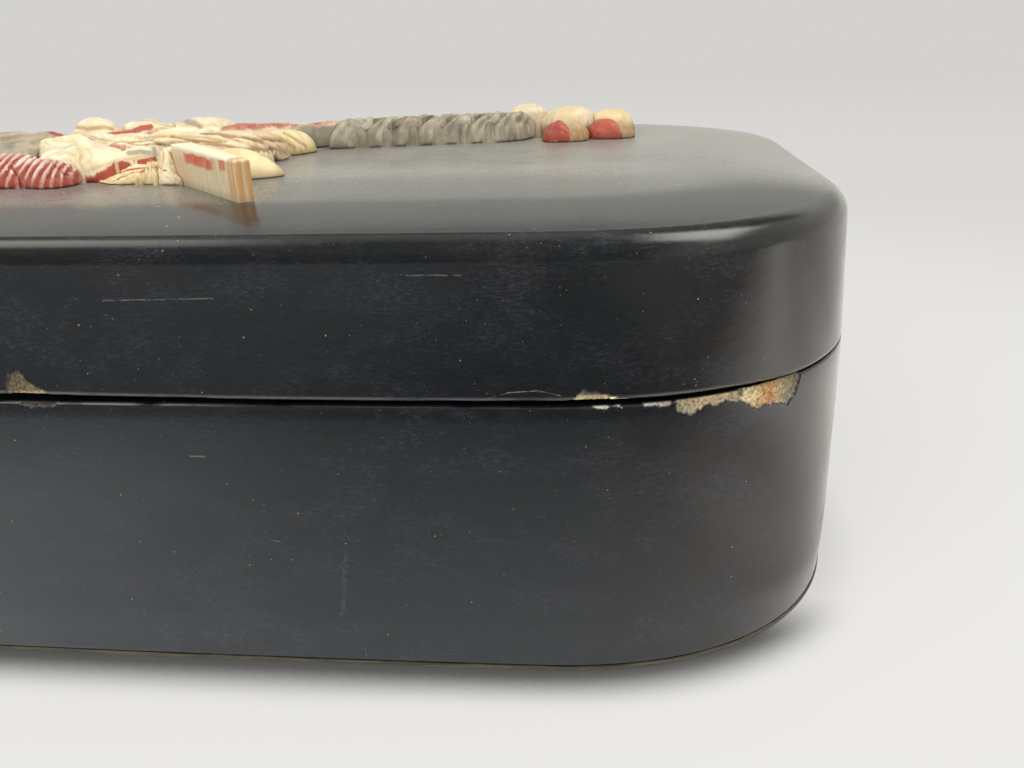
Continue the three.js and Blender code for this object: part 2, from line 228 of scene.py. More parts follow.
def ring_faces(rows, closed):
    """Faces between rows of COLUMNS points. A closed profile joins its last row to its first."""
    here = np.arange(COLUMNS)
    after = (here + 1) % COLUMNS
    faces = []
    for row in range(rows if closed else rows - 1):
        low, high = row * COLUMNS, (row + 1) % rows * COLUMNS
        faces.append(np.stack([low + here, low + after, high + after, high + here], 1))
    return np.concatenate(faces).tolist()


def ring_shape(name, rows):
    """A ring from the rows of its closed profile."""
    return new_mesh(name, np.concatenate(rows), ring_faces(len(rows), True))


def capped_shape(name, rows):
    """A solid from rows that start and end over the plan's middle, where a point closes each end."""
    points = np.concatenate(rows + [[[0, 0, rows[0][0, 2]], [0, 0, rows[-1][0, 2]]]])
    faces = ring_faces(len(rows), False)
    here = np.arange(COLUMNS)
    after = (here + 1) % COLUMNS
    first, last = len(points) - 2, len(points) - 1
    top = (len(rows) - 1) * COLUMNS
    faces += np.stack([np.full(COLUMNS, first), after, here], 1).tolist()
    faces += np.stack([np.full(COLUMNS, last), top + here, top + after], 1).tolist()
    return new_mesh(name, points, faces)


def set_values(shape, name, values):
    """A number or a colour for each point of a mesh, for its material to read."""
    values = np.asarray(values, np.float32)
    kind = "FLOAT" if values.ndim == 1 else "FLOAT_COLOR"
    attribute = shape.data.attributes.new(name, kind, "POINT")
    if values.ndim == 1:
        attribute.data.foreach_set("value", values)
    else:
        full = np.column_stack([values, np.ones(len(values), np.float32)])
        attribute.data.foreach_set("color", full.ravel())


def set_shell_values(shape, values):
    """Values for the first points of a shell, with 0 for the points after them."""
    for name, known in values.items():
        full = np.zeros((len(shape.data.vertices), *known.shape[1:]))
        full[:len(known)] = known
        set_values(shape, name, full)


# The seam, with its chips.

# The lid's lower edge along the front, by way round from the front's middle.
EDGE_WAYS = [-190, -150, -120, -60, -10, 43, 78, 105, 140, 150, 160, 182]
EDGE_HEIGHTS = [62.3, 62.6, 63.1, 63.7, 63.9, 63.3, 63.2, 63.4, 63.3, 62.9, 62.45, 62.3]

# Chips by way round and height. Each has its part, outline, depth, and colours from left to right.
TAN = (0.45, 0.33, 0.19)
OLIVE = (0.27, 0.24, 0.14)
CREAM_GROUND = (0.72, 0.6, 0.34)
ORANGE = (0.52, 0.22, 0.07)
SANDY = (0.56, 0.38, 0.17)
BROWN = (0.2, 0.14, 0.08)
DARK = (0.045, 0.038, 0.028)
PALE_EDGE = (0.46, 0.44, 0.39)
CHIPS = {
    "lid_left": ("lid", [(-9, 63), (-8.9, 66.4), (-7.9, 68.4), (-6.3, 68.9), (-5, 68), (-4, 66.5),
                         (-2.4, 65.6), (-0.2, 64.1), (0.6, 63)], 0.8, [OLIVE, TAN, SANDY]),
    "lid_right": ("lid", [(106.6, 62), (107.2, 63.7), (109, 64.9), (110.2, 65.6), (111.5, 65),
                          (113.6, 65.1), (115.2, 64.2), (115.4, 62)], 0.7, [CREAM_GROUND, OLIVE, TAN]),
    "lid_thread": ("lid", [(114, 62), (115, 63.9), (118.6, 63.5), (120.4, 62)], 0.3, [CREAM_GROUND]),
    "lid_nick": ("lid", [(147.4, 62), (147.9, 63.5), (148.6, 63.7), (149.3, 62.9), (150.2, 62)],
                 0.6, [BROWN]),
    "rim_left": ("body", [(-6.8, 63), (-6.8, 61.7), (-4, 61.3), (-1.4, 61.2), (0.2, 61.4), (1.7, 62.2),
                          (1.9, 63)], 0.6, [DARK, DARK]),
    "rim_flake": ("body", [(111, 63), (111.6, 62.1), (114, 61.95), (117, 62.1), (118, 63)], 0.3,
                  [PALE_EDGE]),
    "rim_crumbs": ("body", [(121, 63), (122, 61.8), (124, 62.1), (125.4, 61.4), (127.4, 61.7),
                            (128.6, 63)], 0.4, [PALE_EDGE, OLIVE]),
    "rim_olive": ("body", [(128.6, 63), (128.9, 60.6), (130.2, 59.5), (132.2, 59.1), (133.8, 60),
                           (134.6, 60.9), (137.4, 60.4), (139.6, 60.9), (142, 60.3), (144.6, 60.6),
                           (145.6, 63)], 0.7, [OLIVE, TAN, OLIVE]),
    "rim_corner": ("body", [(143, 63), (143.2, 60.4), (144.8, 59.4), (146.4, 58.2), (148.6, 57.7),
                            (150, 58.0), (151.4, 57.6), (152.6, 58.0), (154, 57.5), (155.6, 56.9),
                            (157, 56.2), (157.9, 57.2), (159.2, 58.1), (160.2, 59.6), (160.8, 61.4),
                            (160.9, 63)], 1.2, [TAN, CREAM_GROUND, SANDY, ORANGE, TAN, OLIVE, BROWN]),
}
# Scratches, dents and cracks: way round and height of both ends, half width, tone and strength.
PALE_MARK = (0.3, 0.3, 0.3)
TAN_MARK = (0.34, 0.28, 0.18)
DARK_MARK = (0.006, 0.005, 0.004)
MARKS = [
    ((15.1, 83.9), (37.7, 84.3), 0.16, PALE_MARK, 0.34),
    ((76.4, 88.7), (86.9, 88.6), 0.2, PALE_MARK, 0.24),
    ((28.5, 50.8), (31.8, 50.8), 0.22, PALE_MARK, 0.3),
    ((43.7, 31.4), (45.9, 31.1), 0.18, PALE_MARK, 0.36),
    ((59.3, 27.1), (57.5, 13.3), 0.8, PALE_MARK, 0.07),
    ((61.6, 4.6), (61.7, 1.7), 0.2, PALE_MARK, 0.25),
    ((91.3, 64.1), (95.2, 65.4), 0.14, TAN_MARK, 0.5),
    ((95.2, 65.4), (101, 65.8), 0.14, TAN_MARK, 0.5),
    ((101, 65.8), (105.4, 64.8), 0.14, TAN_MARK, 0.5),
    ((157.4, 57), (157.8, 50.5), 0.16, DARK_MARK, 1.0),
]
CHIP_RAGGED = 0.42  # how far a chip's outline wanders
CHIP_EDGE = 0.12  # half the width of the step down into a chip
PALE_LIP = (0.1, 0.32)  # the pale broken lip round a chip in the body, from full to none
FRONT_END = (150, 190)  # the ways round where the measured front edge gives way to a plain arch
LEAST_GAP = 0.1  # between the lid's lower edge and the rim
EDGE_SMOOTHING = 9  # columns


def outline_distance(points, outline):
    """Signed distance of each point from a closed outline, above 0 inside it."""
    points, outline = np.asarray(points, float), np.asarray(outline, float)
    nearest = np.full(len(points), np.inf)
    inside = np.zeros(len(points), bool)
    for start, end in zip(outline, np.roll(outline, -1, 0)):
        along = end - start
        share = np.clip((points - start) @ along / max(along @ along, 1e-12), 0, 1)
        nearest = np.minimum(nearest, np.linalg.norm(points - start - share[:, None] * along, axis=1))
        crosses = (start[1] > points[:, 1]) != (end[1] > points[:, 1])
        if along[1]:
            reach = start[0] + (points[:, 1] - start[1]) * along[0] / along[1]
            inside ^= crosses & (points[:, 0] < reach)
    return np.where(inside, nearest, -nearest)


def chipped(rows, part, wall_rows):
    """Presses the chips of one part into the outer rows, and gives each point's chip share and ground
    colour. Rows are changed in place."""
    share = np.zeros((len(rows), COLUMNS))
    ground = np.zeros((len(rows), COLUMNS, 3))
    for number in wall_rows:
        row = rows[number]
        here = np.column_stack([WAYS, row[:, 2]])
        for order, (owner, outline, depth, colours) in enumerate(CHIPS.values()):
            ways = [way for way, _ in outline]
            near = (WAYS > min(ways) - 2) & (WAYS < max(ways) + 2)
            if owner != part or not near.any():
                continue
            inside = outline_distance(here[near], outline)
            inside += CHIP_RAGGED * rough(here[near], 0.9, seed=order)
            bitten = ease(-CHIP_EDGE, CHIP_EDGE, inside)
            bottom = 0.75 + 0.25 * rough(here[near], 0.6, seed=40 + order)
            row[near, :2] -= NORMALS[near] * (bitten * depth * bottom)[:, None]
            run = (here[near, 0] - min(ways)) / (max(ways) - min(ways))
            run = np.clip(run + 0.07 * rough(here[near], 2.2, seed=60), 0, 1)
            stops = np.linspace(0, 1, len(colours))
            mixed = np.stack([np.interp(run, stops, [c[i] for c in colours]) for i in range(3)], 1)
            # On the lid a chip's ground is painted lighter near the lower edge and darker above it: painted
            # light and shade.
            low = fall(0.2, 1.5, here[near, 1] - EDGE_HEIGHTS[4] + 0.4)
            lit = 0.36 + 1.4 * low if part == "lid" else np.ones(near.sum())
            lip = 0.3 * fall(*PALE_LIP, inside) * (part == "body")
            mixed = mixed * (lit * (1 - lip))[:, None] + lip[:, None] * np.array(PALE_EDGE)
            stronger = bitten > share[number, near]
            share[number, near] = np.maximum(share[number, near], bitten)
            ground[number, near] = np.where(stronger[:, None], mixed, ground[number, near])
    return share.ravel(), ground.reshape(-1, 3)


def lid_edge():
    """Height of the lid's lower edge at each column."""
    x = drawn_in(CENTRES, DIRECTIONS, 0)[:, 0]
    arch = LID_ARCH * (1 - np.clip(np.abs(x) / (HALF_LENGTH - REST_LENGTH), 0, 1) ** 2)
    front = np.interp(WAYS, EDGE_WAYS, EDGE_HEIGHTS)
    share = fall(*FRONT_END, np.abs(WAYS))
    blended = (RIM_HEIGHT + np.maximum(arch, LEAST_GAP)) * (1 - share) + front * share
    smooth = np.convolve(np.tile(blended, 3), np.ones(EDGE_SMOOTHING) / EDGE_SMOOTHING, "same")
    return smooth[COLUMNS:2 * COLUMNS]


EDGE_ROUND = 1.1  # the worn rounding of the lid's lower edge
RIM_ROUND = 0.28  # and of the body's rim
FOOT_ROUND = 0.4  # and of the body's foot
INNER_ROUND = 0.4  # and inside the rim
RIM_LEAN = 0.12  # how far the body's wall leans in towards its rim
RIM_REACH = 3.6  # and how far below the rim that starts
SHOULDER_ROWS = 15
FIELD_ROWS = 30


def spaced(start, end, first_pitch, last_pitch):
    """Heights from start to end whose spacing grows evenly from one pitch to the other."""
    values = [start]
    while values[-1] < end:
        share = (values[-1] - start) / (end - start)
        values.append(values[-1] + first_pitch + (last_pitch - first_pitch) * share)
    return np.array(values[:-1])


def waved(rows, numbers, depth, size, seed):
    """Presses long shallow waves into rows, always inwards, as hand-laid lacquer has."""
    for number in numbers:
        wave = 0.5 + 0.5 * noise(rows[number], size, seed)
        rows[number][:, :2] -= NORMALS * (depth * wave)[:, None]


def body_shell():
    """The body's wall, from its lip's seat down the inside, round the foot and up to the rim."""
    foot_top = EDGE_HEIGHT + 1
    profile = [(LIP_INSIDE, SEAT_HEIGHT), (LIP_INSIDE, foot_top), (LIP_INSIDE - 1, EDGE_HEIGHT)]
    rows = [plan_row(inset, height) for inset, height in profile]
    first_wall = len(rows)
    for share in (0.3, 0.75, 1):
        angle = share * math.pi / 2
        inset = FOOT_INSET + FOOT_ROUND * (1 - math.sin(angle))
        rows.append(plan_row(inset, EDGE_HEIGHT + FOOT_ROUND * (1 - math.cos(angle))))
    for height in spaced(foot_top, RIM_HEIGHT - RIM_ROUND, first_pitch=1.6, last_pitch=FINE_PITCH):
        lean = max(0, 1 - (RIM_HEIGHT - height) / RIM_REACH) ** 2
        rows.append(plan_row(FOOT_INSET * fall(0, FOOT_RISE, height) + RIM_LEAN * lean, height))
    for share in (0.0, 0.35, 0.7, 1):
        angle = share * math.pi / 2
        inset = RIM_LEAN + RIM_ROUND * (1 - math.cos(angle))
        rows.append(plan_row(inset, RIM_HEIGHT - RIM_ROUND * (1 - math.sin(angle))))
    outer = range(first_wall, len(rows))
    waved(rows, outer, depth=0.22, size=55, seed=3)
    chip, ground = chipped(rows, "body", outer)
    # The rim's upper edge is painted pale, less so towards the front's right: partly wear, partly a painted
    # highlight.
    worn = 1 - 0.9 * ease(18, 45, WAYS)
    edge = np.concatenate([ease(RIM_HEIGHT - 0.3, RIM_HEIGHT - 0.12, row[:, 2]) * worn for row in rows])
    rows += [plan_row(1.6, RIM_HEIGHT), plan_row(WALL - INNER_ROUND, RIM_HEIGHT)]
    rows += [plan_row(WALL, RIM_HEIGHT - INNER_ROUND), plan_row(WALL, SEAT_HEIGHT)]
    shape = ring_shape("body_shell", rows)
    way = np.tile(WAYS, len(rows))
    set_shell_values(shape, {"edge": edge, "way": way, "chip": chip, "ground": ground})
    return shape


def lid_shell():
    """The lid in one skin: its inside, its lower edge, its wall, the shoulder and the field."""
    edge = lid_edge()
    panel = JOINT_HEIGHT - PANEL_DROP
    rows = [plan_row(inset, panel) for inset in (60, 30, WALL + 2)]
    rows.append(plan_row(WALL + 0.6, panel - 0.15))
    rows.append(plan_row(WALL, panel - 0.8))
    rows += [plan_row(WALL, edge + (panel - edge) * share) for share in (0.5, 0)]
    rows.append(plan_row(1.6, edge))
    first_wall = len(rows)
    for share in (0, 0.35, 0.7):
        angle = share * math.pi / 2
        inset = EDGE_ROUND * (1 - math.sin(angle))
        rows.append(plan_row(inset, edge + EDGE_ROUND * (1 - math.cos(angle))))
    tilt = math.radians(CREASE_TILT)
    crease_inset = LID_LEAN + SHOULDER_ROUND * (1 - math.sin(tilt))
    wall_top = CREASE_HEIGHT - SHOULDER_ROUND * math.cos(tilt)
    for height in spaced(EDGE_ROUND, wall_top - RIM_HEIGHT, first_pitch=FINE_PITCH, last_pitch=1.0):
        share = height / (wall_top - RIM_HEIGHT)
        rows.append(plan_row(LID_LEAN * share, edge + (wall_top - edge) * share))
    last_wall = len(rows)
    for angle in np.linspace(math.pi / 2, tilt, SHOULDER_ROWS):
        inset = LID_LEAN + SHOULDER_ROUND * (1 - math.sin(angle))
        rows.append(plan_row(inset, wall_top + SHOULDER_ROUND * math.cos(angle)))
    rows.append(plan_row(crease_inset + 0.25, CREASE_HEIGHT + 0.07))
    for inset in spaced(crease_inset + 0.8, crease_inset + MARGIN, first_pitch=0.8, last_pitch=1.6):
        share = (inset - crease_inset) / MARGIN
        rise = 1 - (1 - share) ** CROWN_POWER
        rows.append(plan_row(inset, CREASE_HEIGHT + CROWN_HEIGHT * rise))
    rim = plan_row(crease_inset + MARGIN, FIELD_HEIGHT)
    for share in np.linspace(1, 0.06, FIELD_ROWS):
        rows.append(rim * [share, share, 1])
    waved(rows, range(first_wall, last_wall + SHOULDER_ROWS - 1), depth=0.2, size=48, seed=9)
    chip, ground = chipped(rows, "lid", range(first_wall, last_wall))
    # A pale band just above the lid's lower edge: partly wear, partly a painted highlight.
    near = [0.5 * fall(0.3, 1.2, row[:, 2] - edge) for row in rows]
    near[:first_wall] = [np.zeros(COLUMNS)] * first_wall
    shape = capped_shape("lid_shell", rows)
    way = np.tile(WAYS, len(rows))
    set_shell_values(shape, {"edge": np.concatenate(near), "way": way, "chip": chip, "ground": ground})
    return shape


def base_board():
    """The bottom board, whose edge shows under the wall."""
    thick = LIP_INSIDE + BOARD_FIT
    rows = [plan_row(40, 0), plan_row(FOOT_INSET + 0.3, 0), plan_row(FOOT_INSET, 0.25)]
    rows += [plan_row(FOOT_INSET, EDGE_HEIGHT - 0.05), plan_row(thick, EDGE_HEIGHT - 0.05)]
    rows += [plan_row(thick, BOARD - 0.3), plan_row(thick + 0.3, BOARD), plan_row(40, BOARD)]
    return capped_shape("base_board", rows)


def locating_lip():
    """The ring inside the rim that keeps the lid in place."""
    outside = WALL + LIP_FIT
    lid_side = WALL + LID_FIT
    top = RIM_HEIGHT + LIP_REACH
    profile = [(LIP_INSIDE, SEAT_HEIGHT), (outside, SEAT_HEIGHT), (outside, RIM_HEIGHT - LIP_FIT),
               (lid_side, RIM_HEIGHT), (lid_side, top - 0.8), (lid_side + 0.25, top - 0.25),
               (lid_side + 0.8, top), (LIP_INSIDE - 0.5, top), (LIP_INSIDE, top - 0.5)]
    rows = [plan_row(inset, height) for inset, height in profile]
    return ring_shape("locating_lip", rows)


# The relief: each carved piece grows from the outline of the CAD piece that it stands for.

CARVE_PITCH = 0.36
UNDERCUT = 0.35
FREE_EDGE = 0.1  # how high a piece's edge stands, as a share of its height, where nothing joins it
JOINED_EDGE = 0.78  # and where its neighbour joins it, as a share of the lower of the two
TUFT_EDGE = 0.96  # the pine tufts run into each other
JOINED_OVERLAP = 0.16  # how far joined pieces run into each other, in mm
JOINED_REACH = 7.5  # how far from its free end a shared edge climbs, in mm
FRONT_PLACE = (115.9, -284.9, 33)  # where the relief is seen from, above the lid's field, in mm
FRONT_PLANE = -50  # the upright plane before it on which its lines are measured
JOINED_GAP = (0.9, 2.4)  # pieces this close are joined, and pieces farther apart are free, in mm
CLIMB_POWER = 1.6  # how a shared edge climbs: round at its top
EDGE_BLUR = 0.4  # how far a rim's height spreads over the piece, in square mm
LEAST_SHARE = 0.06  # the lowest that a form may be, as a share of its piece's height
LEAST_HEIGHT = 0.3  # and in mm, once it is cut
TOOL_MARKS = 0.06  # small uneven cuts all over a piece, in mm
MOST_PAINT = 1.3  # as a share of a full coat
STROKE_WANDER = 0.09  # how far a stroke wanders, as a share of its width
STROKE_EDGE = (0.2, 0.66)  # where a stroke fades, as shares of its width


def base_outline(node):
    """The outline of a CAD piece where it stands on the lid, in mm, anticlockwise."""
    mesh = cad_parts[node].data
    points = np.array([v.co for v in mesh.vertices]) / MM
    floor = points[:, 2].min()
    keys = {}
    number = [keys.setdefault(tuple(np.round(p, 3)), len(keys)) for p in points]
    places = np.array(list(keys))
    edges = set()
    for face in mesh.polygons:
        if all(points[v, 2] < floor + 0.02 for v in face.vertices):
            ring = [number[v] for v in face.vertices]
            edges |= {(a, b) for a, b in zip(ring, ring[1:] + ring[:1]) if a != b}
    following = {a: b for a, b in edges if (b, a) not in edges}
    start = min(following)
    loop = [start]
    while following[loop[-1]] != start:
        loop.append(following[loop[-1]])
    outline = places[loop][:, :2]
    area = np.sum(outline[:, 0] * np.roll(outline[:, 1], -1) - outline[:, 1] * np.roll(outline[:, 0], -1))
    return outline if area > 0 else outline[::-1]


def resampled(outline, pitch):
    """A closed outline with points evenly along it, and its sharpest corners eased."""
    closed = np.vstack([outline, outline[:1]])
    lengths = np.concatenate([[0], np.cumsum(np.linalg.norm(np.diff(closed, axis=0), axis=1))])
    ways = np.linspace(0, lengths[-1], max(12, int(lengths[-1] / pitch)), endpoint=False)
    points = np.stack([np.interp(ways, lengths, closed[:, axis]) for axis in (0, 1)], 1)
    for _ in range(2):
        points = 0.5 * points + 0.25 * (np.roll(points, 1, 0) + np.roll(points, -1, 0))
    return points


def outwards(outline):
    """The outward direction at each point of an anticlockwise outline."""
    ahead = np.roll(outline, -1, 0) - np.roll(outline, 1, 0)
    return np.stack([ahead[:, 1], -ahead[:, 0]], 1) / np.linalg.norm(ahead, axis=1)[:, None]


def rounded(share, power):
    """A rise from 0 to 1 that is steep at first and rounds off, rounder for a higher power."""
    return (1 - (1 - share) ** power) ** (1 / power)


def ridged(phase, sharpness=1.0):
    """Rounded ridges with narrow valleys, from 0 to 1, one for each whole phase."""
    return np.abs(np.sin(np.pi * phase)) ** sharpness


def grooved(phase, sharpness=1.0):
    """The narrow valleys between such ridges, 1 at their bottoms."""
    return 1 - ridged(phase, sharpness)


def overlapping(phase, drop):
    """Ribs that rise slowly and drop quickly, one for each whole phase. The drop starts at a share of it."""
    step = phase % 1
    return ease(0, 0.6, step) * fall(drop, 1, step)


class Carving:
    """A carved piece's own measures at each point of its top, in mm: along and across its own axes and in
    from its rim; u and v are along and across as shares of its half length and half width."""

    def __init__(self, node, turn, scallops):
        self.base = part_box(node)[0].z / MM
        self.height = HEIGHTS[node]
        self.node = node
        self.seed = sum(ord(letter) for letter in node)
        self.outline = resampled(OUTLINES[node], CARVE_PITCH)
        others = {other: resampled(line, 1.0) for other, line in OUTLINES.items() if other != node}
        around = np.vstack(list(others.values()))
        gaps = np.linalg.norm(self.outline[:, None] - around[None], axis=2)
        heights = np.concatenate([np.full(len(line), HEIGHTS[other]) for other, line in others.items()])
        self.joined = fall(*JOINED_GAP, gaps.min(1))
        lower = np.minimum(heights[gaps.argmin(1)], self.height) / self.height
        joined_edge = lower * (TUFT_EDGE if node.startswith("pine_tuft") else JOINED_EDGE)
        free = self.outline[self.joined < 0.5]
        if len(free):
            inland = np.linalg.norm(self.outline[:, None] - free[None], axis=2).min(1)
            inland = np.clip(inland / JOINED_REACH, 0, 1)
            self.joined_rise = rounded(inland, CLIMB_POWER)
        else:
            self.joined_rise = np.ones(len(self.outline))
        self.draw_in(*scallops)
        self.axes = np.array([[math.cos(turn), math.sin(turn)], [-math.sin(turn), math.cos(turn)]])
        local = self.outline @ self.axes.T
        self.middle = (local.min(0) + local.max(0)) / 2
        self.half = (local.max(0) - local.min(0)) / 2
        places = [Vector(p) for p in np.vstack([self.outline, self.grid()])]
        points, _, faces, *_ = delaunay_2d_cdt(places, [], [list(range(len(self.outline)))], 1, 1e-6)
        self.points = np.array([(p.x, p.y) for p in points])
        self.z = np.zeros(len(self.points))
        self.faces = np.array(faces)
        self.rim = np.maximum(outline_distance(self.points, self.outline), 0)
        near = np.linalg.norm(self.points[:, None] - self.outline[None], axis=2)
        weight = 1 / (near**2 + EDGE_BLUR) ** 2
        edge = FREE_EDGE + (joined_edge - FREE_EDGE) * self.joined_rise
        self.edge = (weight @ edge) / weight.sum(1)
        own = self.points @ self.axes.T - self.middle
        self.along, self.across = own.T
        self.u, self.v = (own / self.half).T

    def draw_in(self, depth, length):
        """Draws the outline in where nothing joins it, in scallops of a depth and a length."""
        way = np.cumsum(np.linalg.norm(np.roll(self.outline, -1, 0) - self.outline, axis=1))
        count = max(3, round(way[-1] / length))
        lobes = grooved(count * way / way[-1], 0.8)
        drawn = depth * (1 - self.joined) * (lobes + 0.5 + 0.5 * noise(self.outline, 5, self.seed))
        self.outline = self.outline + outwards(self.outline) * (JOINED_OVERLAP * self.joined - drawn)[:, None]

    def grid(self):
        """Points inside the outline on an even triangular grid."""
        low, high = self.outline.min(0), self.outline.max(0)
        across = np.arange(low[0], high[0], CARVE_PITCH)
        up = np.arange(low[1], high[1], CARVE_PITCH * math.sqrt(3) / 2)
        grid = np.array([(x + CARVE_PITCH / 2 * (row % 2), y) for row, y in enumerate(up) for x in across])
        return grid[outline_distance(grid, self.outline) > 0.6 * CARVE_PITCH]

    def swell(self, reach, power):
        """1 over most of the piece, rounded down within a reach in mm to a thin free edge, or to a high one
        where another piece joins it."""
        reach = min(reach, self.rim.max())
        return self.edge + (1 - self.edge) * rounded(np.clip(self.rim / reach, 0, 1), power)

    def rise(self, share):
        """Raises the form to a share of the piece's height. After it, t is that share, and fx and fz are the
        places on an upright plane before the relief, seen from its front right, in mm."""
        self.t = np.clip(share, LEAST_SHARE, 1)
        self.z = self.height * self.t
        reach = (FRONT_PLANE - FRONT_PLACE[1]) / (self.points[:, 1] - FRONT_PLACE[1])
        self.fx = FRONT_PLACE[0] + (self.points[:, 0] - FRONT_PLACE[0]) * reach
        self.fz = FRONT_PLACE[2] + (self.z - FRONT_PLACE[2]) * reach

    def surface(self):
        """The form's points in mm."""
        return np.column_stack([self.points, self.base + self.z])

    def noise(self, size, seed=0):
        """The piece's own noise, with features of about this size in mm."""
        return rough(np.column_stack([self.points, self.z]), size, self.seed + seed, layers=2)

    def normals(self):
        """The form's outward direction at each point."""
        points = self.surface()
        corners = points[self.faces]
        facing = np.cross(corners[:, 1] - corners[:, 0], corners[:, 2] - corners[:, 0])
        total = np.zeros_like(points)
        for corner in range(3):
            np.add.at(total, self.faces[:, corner], facing)
        return total / np.linalg.norm(total, axis=1)[:, None].clip(1e-9)


# Styles of carving: each raises its form, and gives how deep it is cut in mm and where its paints lie,
# painted shade and highlights among them.

def slab_style(c):
    """A thin upright slab with a slightly nicked top."""
    notches = ease(-0.1, 0.5, c.u) * ease(0.2, 0.8, c.noise(1.1, 3))
    c.rise(0.95 + 0.05 * c.swell(0.7, 2) - 0.03 * notches - 0.02 * ease(-0.2, 0.9, c.u))
    return 0, {}


def pleat_style(c):
    """Crescent pleats that climb from the left to the right, like combed feathers, with a painted highlight
    on their crests and painted shade in their valleys.
    """
    c.rise(c.swell(8, 1.5))
    phase = (c.fx - 0.3 * c.fz - 0.11 * c.fz**2) / 2.5 + 0.5 * c.noise(7)
    rib = overlapping(phase, 0.8)
    hair = grooved(3 * phase, 0.8)
    # Paler crests and tops are a painted highlight; the dark in the valleys is painted shade.
    pale = ease(0.5, 1, rib) * (0.55 + 0.45 * ease(0.2, 0.8, c.t)) * (0.7 + 0.4 * c.noise(3, 5))
    deep = 0.62 - 0.3 * ease(0.8, 1, c.t)
    dark = 0.25 * fall(0, 0.45, rib) + 0.08 * hair
    red = 0.78 - 0.72 * pale - 0.3 * ease(0.72, 0.98, c.t)
    return deep * (1 - rib) + 0.14 * hair, {"red": red, "dark": dark}


def lump_style(c):
    """A wrinkled lump on its left, and a smooth swelling on its right."""
    c.rise(c.swell(9, 1.6) * (1 - 0.14 * ease(0.1, 0.5, c.u) + 0.04 * c.noise(6)))
    wrinkled = fall(0.0, 0.3, c.u)
    folds = bell(c.noise(5.5, 3), 0.16) * wrinkled
    # The ochre low on its flanks is painted shade.
    return 0.45 * folds, {"green": 0.5 * folds, "ochre": 0.5 * fall(0.1, 0.5, c.t) + 0.25 * folds}


def bud_style(c):
    """A round glossy bud that stands in a ring of low lobes."""
    way = np.hypot(c.u + 0.05, c.v)
    ball = np.sqrt(np.clip(1 - (way / 0.85) ** 2, 0, 1))
    c.rise(np.maximum(0.3 + 0.7 * ball, 0) * c.swell(2.4, 2))
    lobes = grooved(3.5 * np.arctan2(c.v, c.u) / math.pi, 0.7)
    # The ochre on its lower side is painted shade.
    return 0.3 * lobes * ease(0.7, 0.9, way), {"ochre": 0.9 * fall(0.3, 0.6, c.t)}


def mottled_style(c):
    """A broad pale petal with soft waves."""
    c.rise(c.swell(8, 1.8))
    waves = grooved((c.fz + 0.12 * c.fx) / 3.1 + 0.3 * c.noise(7), 0.7)
    return 0.5 * waves, {"ochre": 0.15 + 0.6 * waves, "green": 0.4 * ease(0.0, 0.5, c.noise(3.5, 9))}


def pod_style(c):
    """A long smooth pod, darker towards its narrow end."""
    c.rise(c.swell(7, 1.8) * (1 - 0.1 * ease(0.2, 1, c.u)))
    return 0.2 * bell(c.noise(6, 3), 0.14), {"green": 0.75 * ease(-0.4, 0.5, c.u + 0.2 * c.noise(4))}


def fan_style(c):
    """A low scalloped leaf with soft ribs, lowest at its left end."""
    c.rise(c.swell(6.5, 1.4) * (0.3 + 0.7 * ease(-17, -3, c.points[:, 0])))
    ribs = grooved((c.fx + 1.2 * c.fz) / 2.9 + 0.25 * c.noise(5), 0.8)
    # The ochre low on the leaf is painted shade.
    return 0.15 * ribs, {"ochre": 0.15 + 0.5 * ribs + 0.3 * fall(0.05, 0.4, c.t)}


def fold_style(c):
    """Long folds that lie over each other, each with a rounded lip and painted shadow under it."""
    c.rise(c.swell(8, 1.7))
    lip = overlapping((c.fz + 0.16 * c.fx) / 2.3 + 0.25 * c.noise(9) + 0.1 * c.seed, 0.85)
    # The ochre and dark that gather under each lip are painted shadow.
    between = fall(0.1, 0.8, lip)
    paint = {"ochre": 0.36 + 0.95 * between, "green": 0.1, "dark": 0.03 + 0.42 * between * between}
    return 0.6 * (1 - lip), paint


def petal_style(c):
    """A spooned petal: a raised wavy rim, a hollow middle and shallow grooves."""
    crown = 0.68 + 0.32 * ease(-1, 0.6, c.u)
    hollow = ease(0.8, 5, c.rim) * (1 - 0.3 * c.noise(5))
    c.rise(c.swell(2.8, 2) * crown * (1 - 0.3 * hollow))
    grooves = grooved(2.6 * c.v * (1.2 - 0.4 * c.u) + 0.08 * c.noise(4), 0.6)
    blush = 0.5 * fall(0.4, 1.2, c.rim + 0.7 * c.noise(3))
    return 0.3 * grooves, {"ochre": 0.6 * ease(0.2, -0.8, c.u) + 0.4 * hollow * grooves, "red": blush}


def leaf_style(c):
    """A leaf: a sunk central vein, and side veins that slant from it."""
    c.rise(c.swell(6, 1.7))
    vein = bell(c.across, 0.55)
    barbs = ridged((c.along - 1.1 * np.abs(c.across)) / 3.4 + 0.1 * c.noise(5), 0.45)
    return 0.5 * (1 - barbs) + 0.5 * vein, {"ochre": 0.4 * fall(0.1, 0.6, barbs) + 0.4 * vein}


def streaked_style(c):
    """A pale leaf with long ochre streaks, laid on as strokes."""
    c.rise(c.swell(6.5, 1.7))
    # The ochre low on its flanks is painted shade.
    return 0.15 * grooved((c.fz + 0.7 * c.fx) / 1.1, 0.7), {"ochre": 0.3 + 0.4 * fall(0.1, 0.6, c.t)}


def plume_style(c):
    """A plume: a raised shaft and close fine barbs that sweep back from it."""
    c.rise(c.swell(6, 1.7))
    shaft = bell(c.across, 0.6)
    swept = c.along + 1.3 * np.abs(c.across)
    barbs = ridged(swept / 1.5 + 0.15 * c.noise(5), 0.7)
    return 0.35 * (1 - barbs) * (1 - shaft), {"ochre": 0.4 * (1 - barbs), "dark": 0.3 * fall(0, 0.3, barbs)}


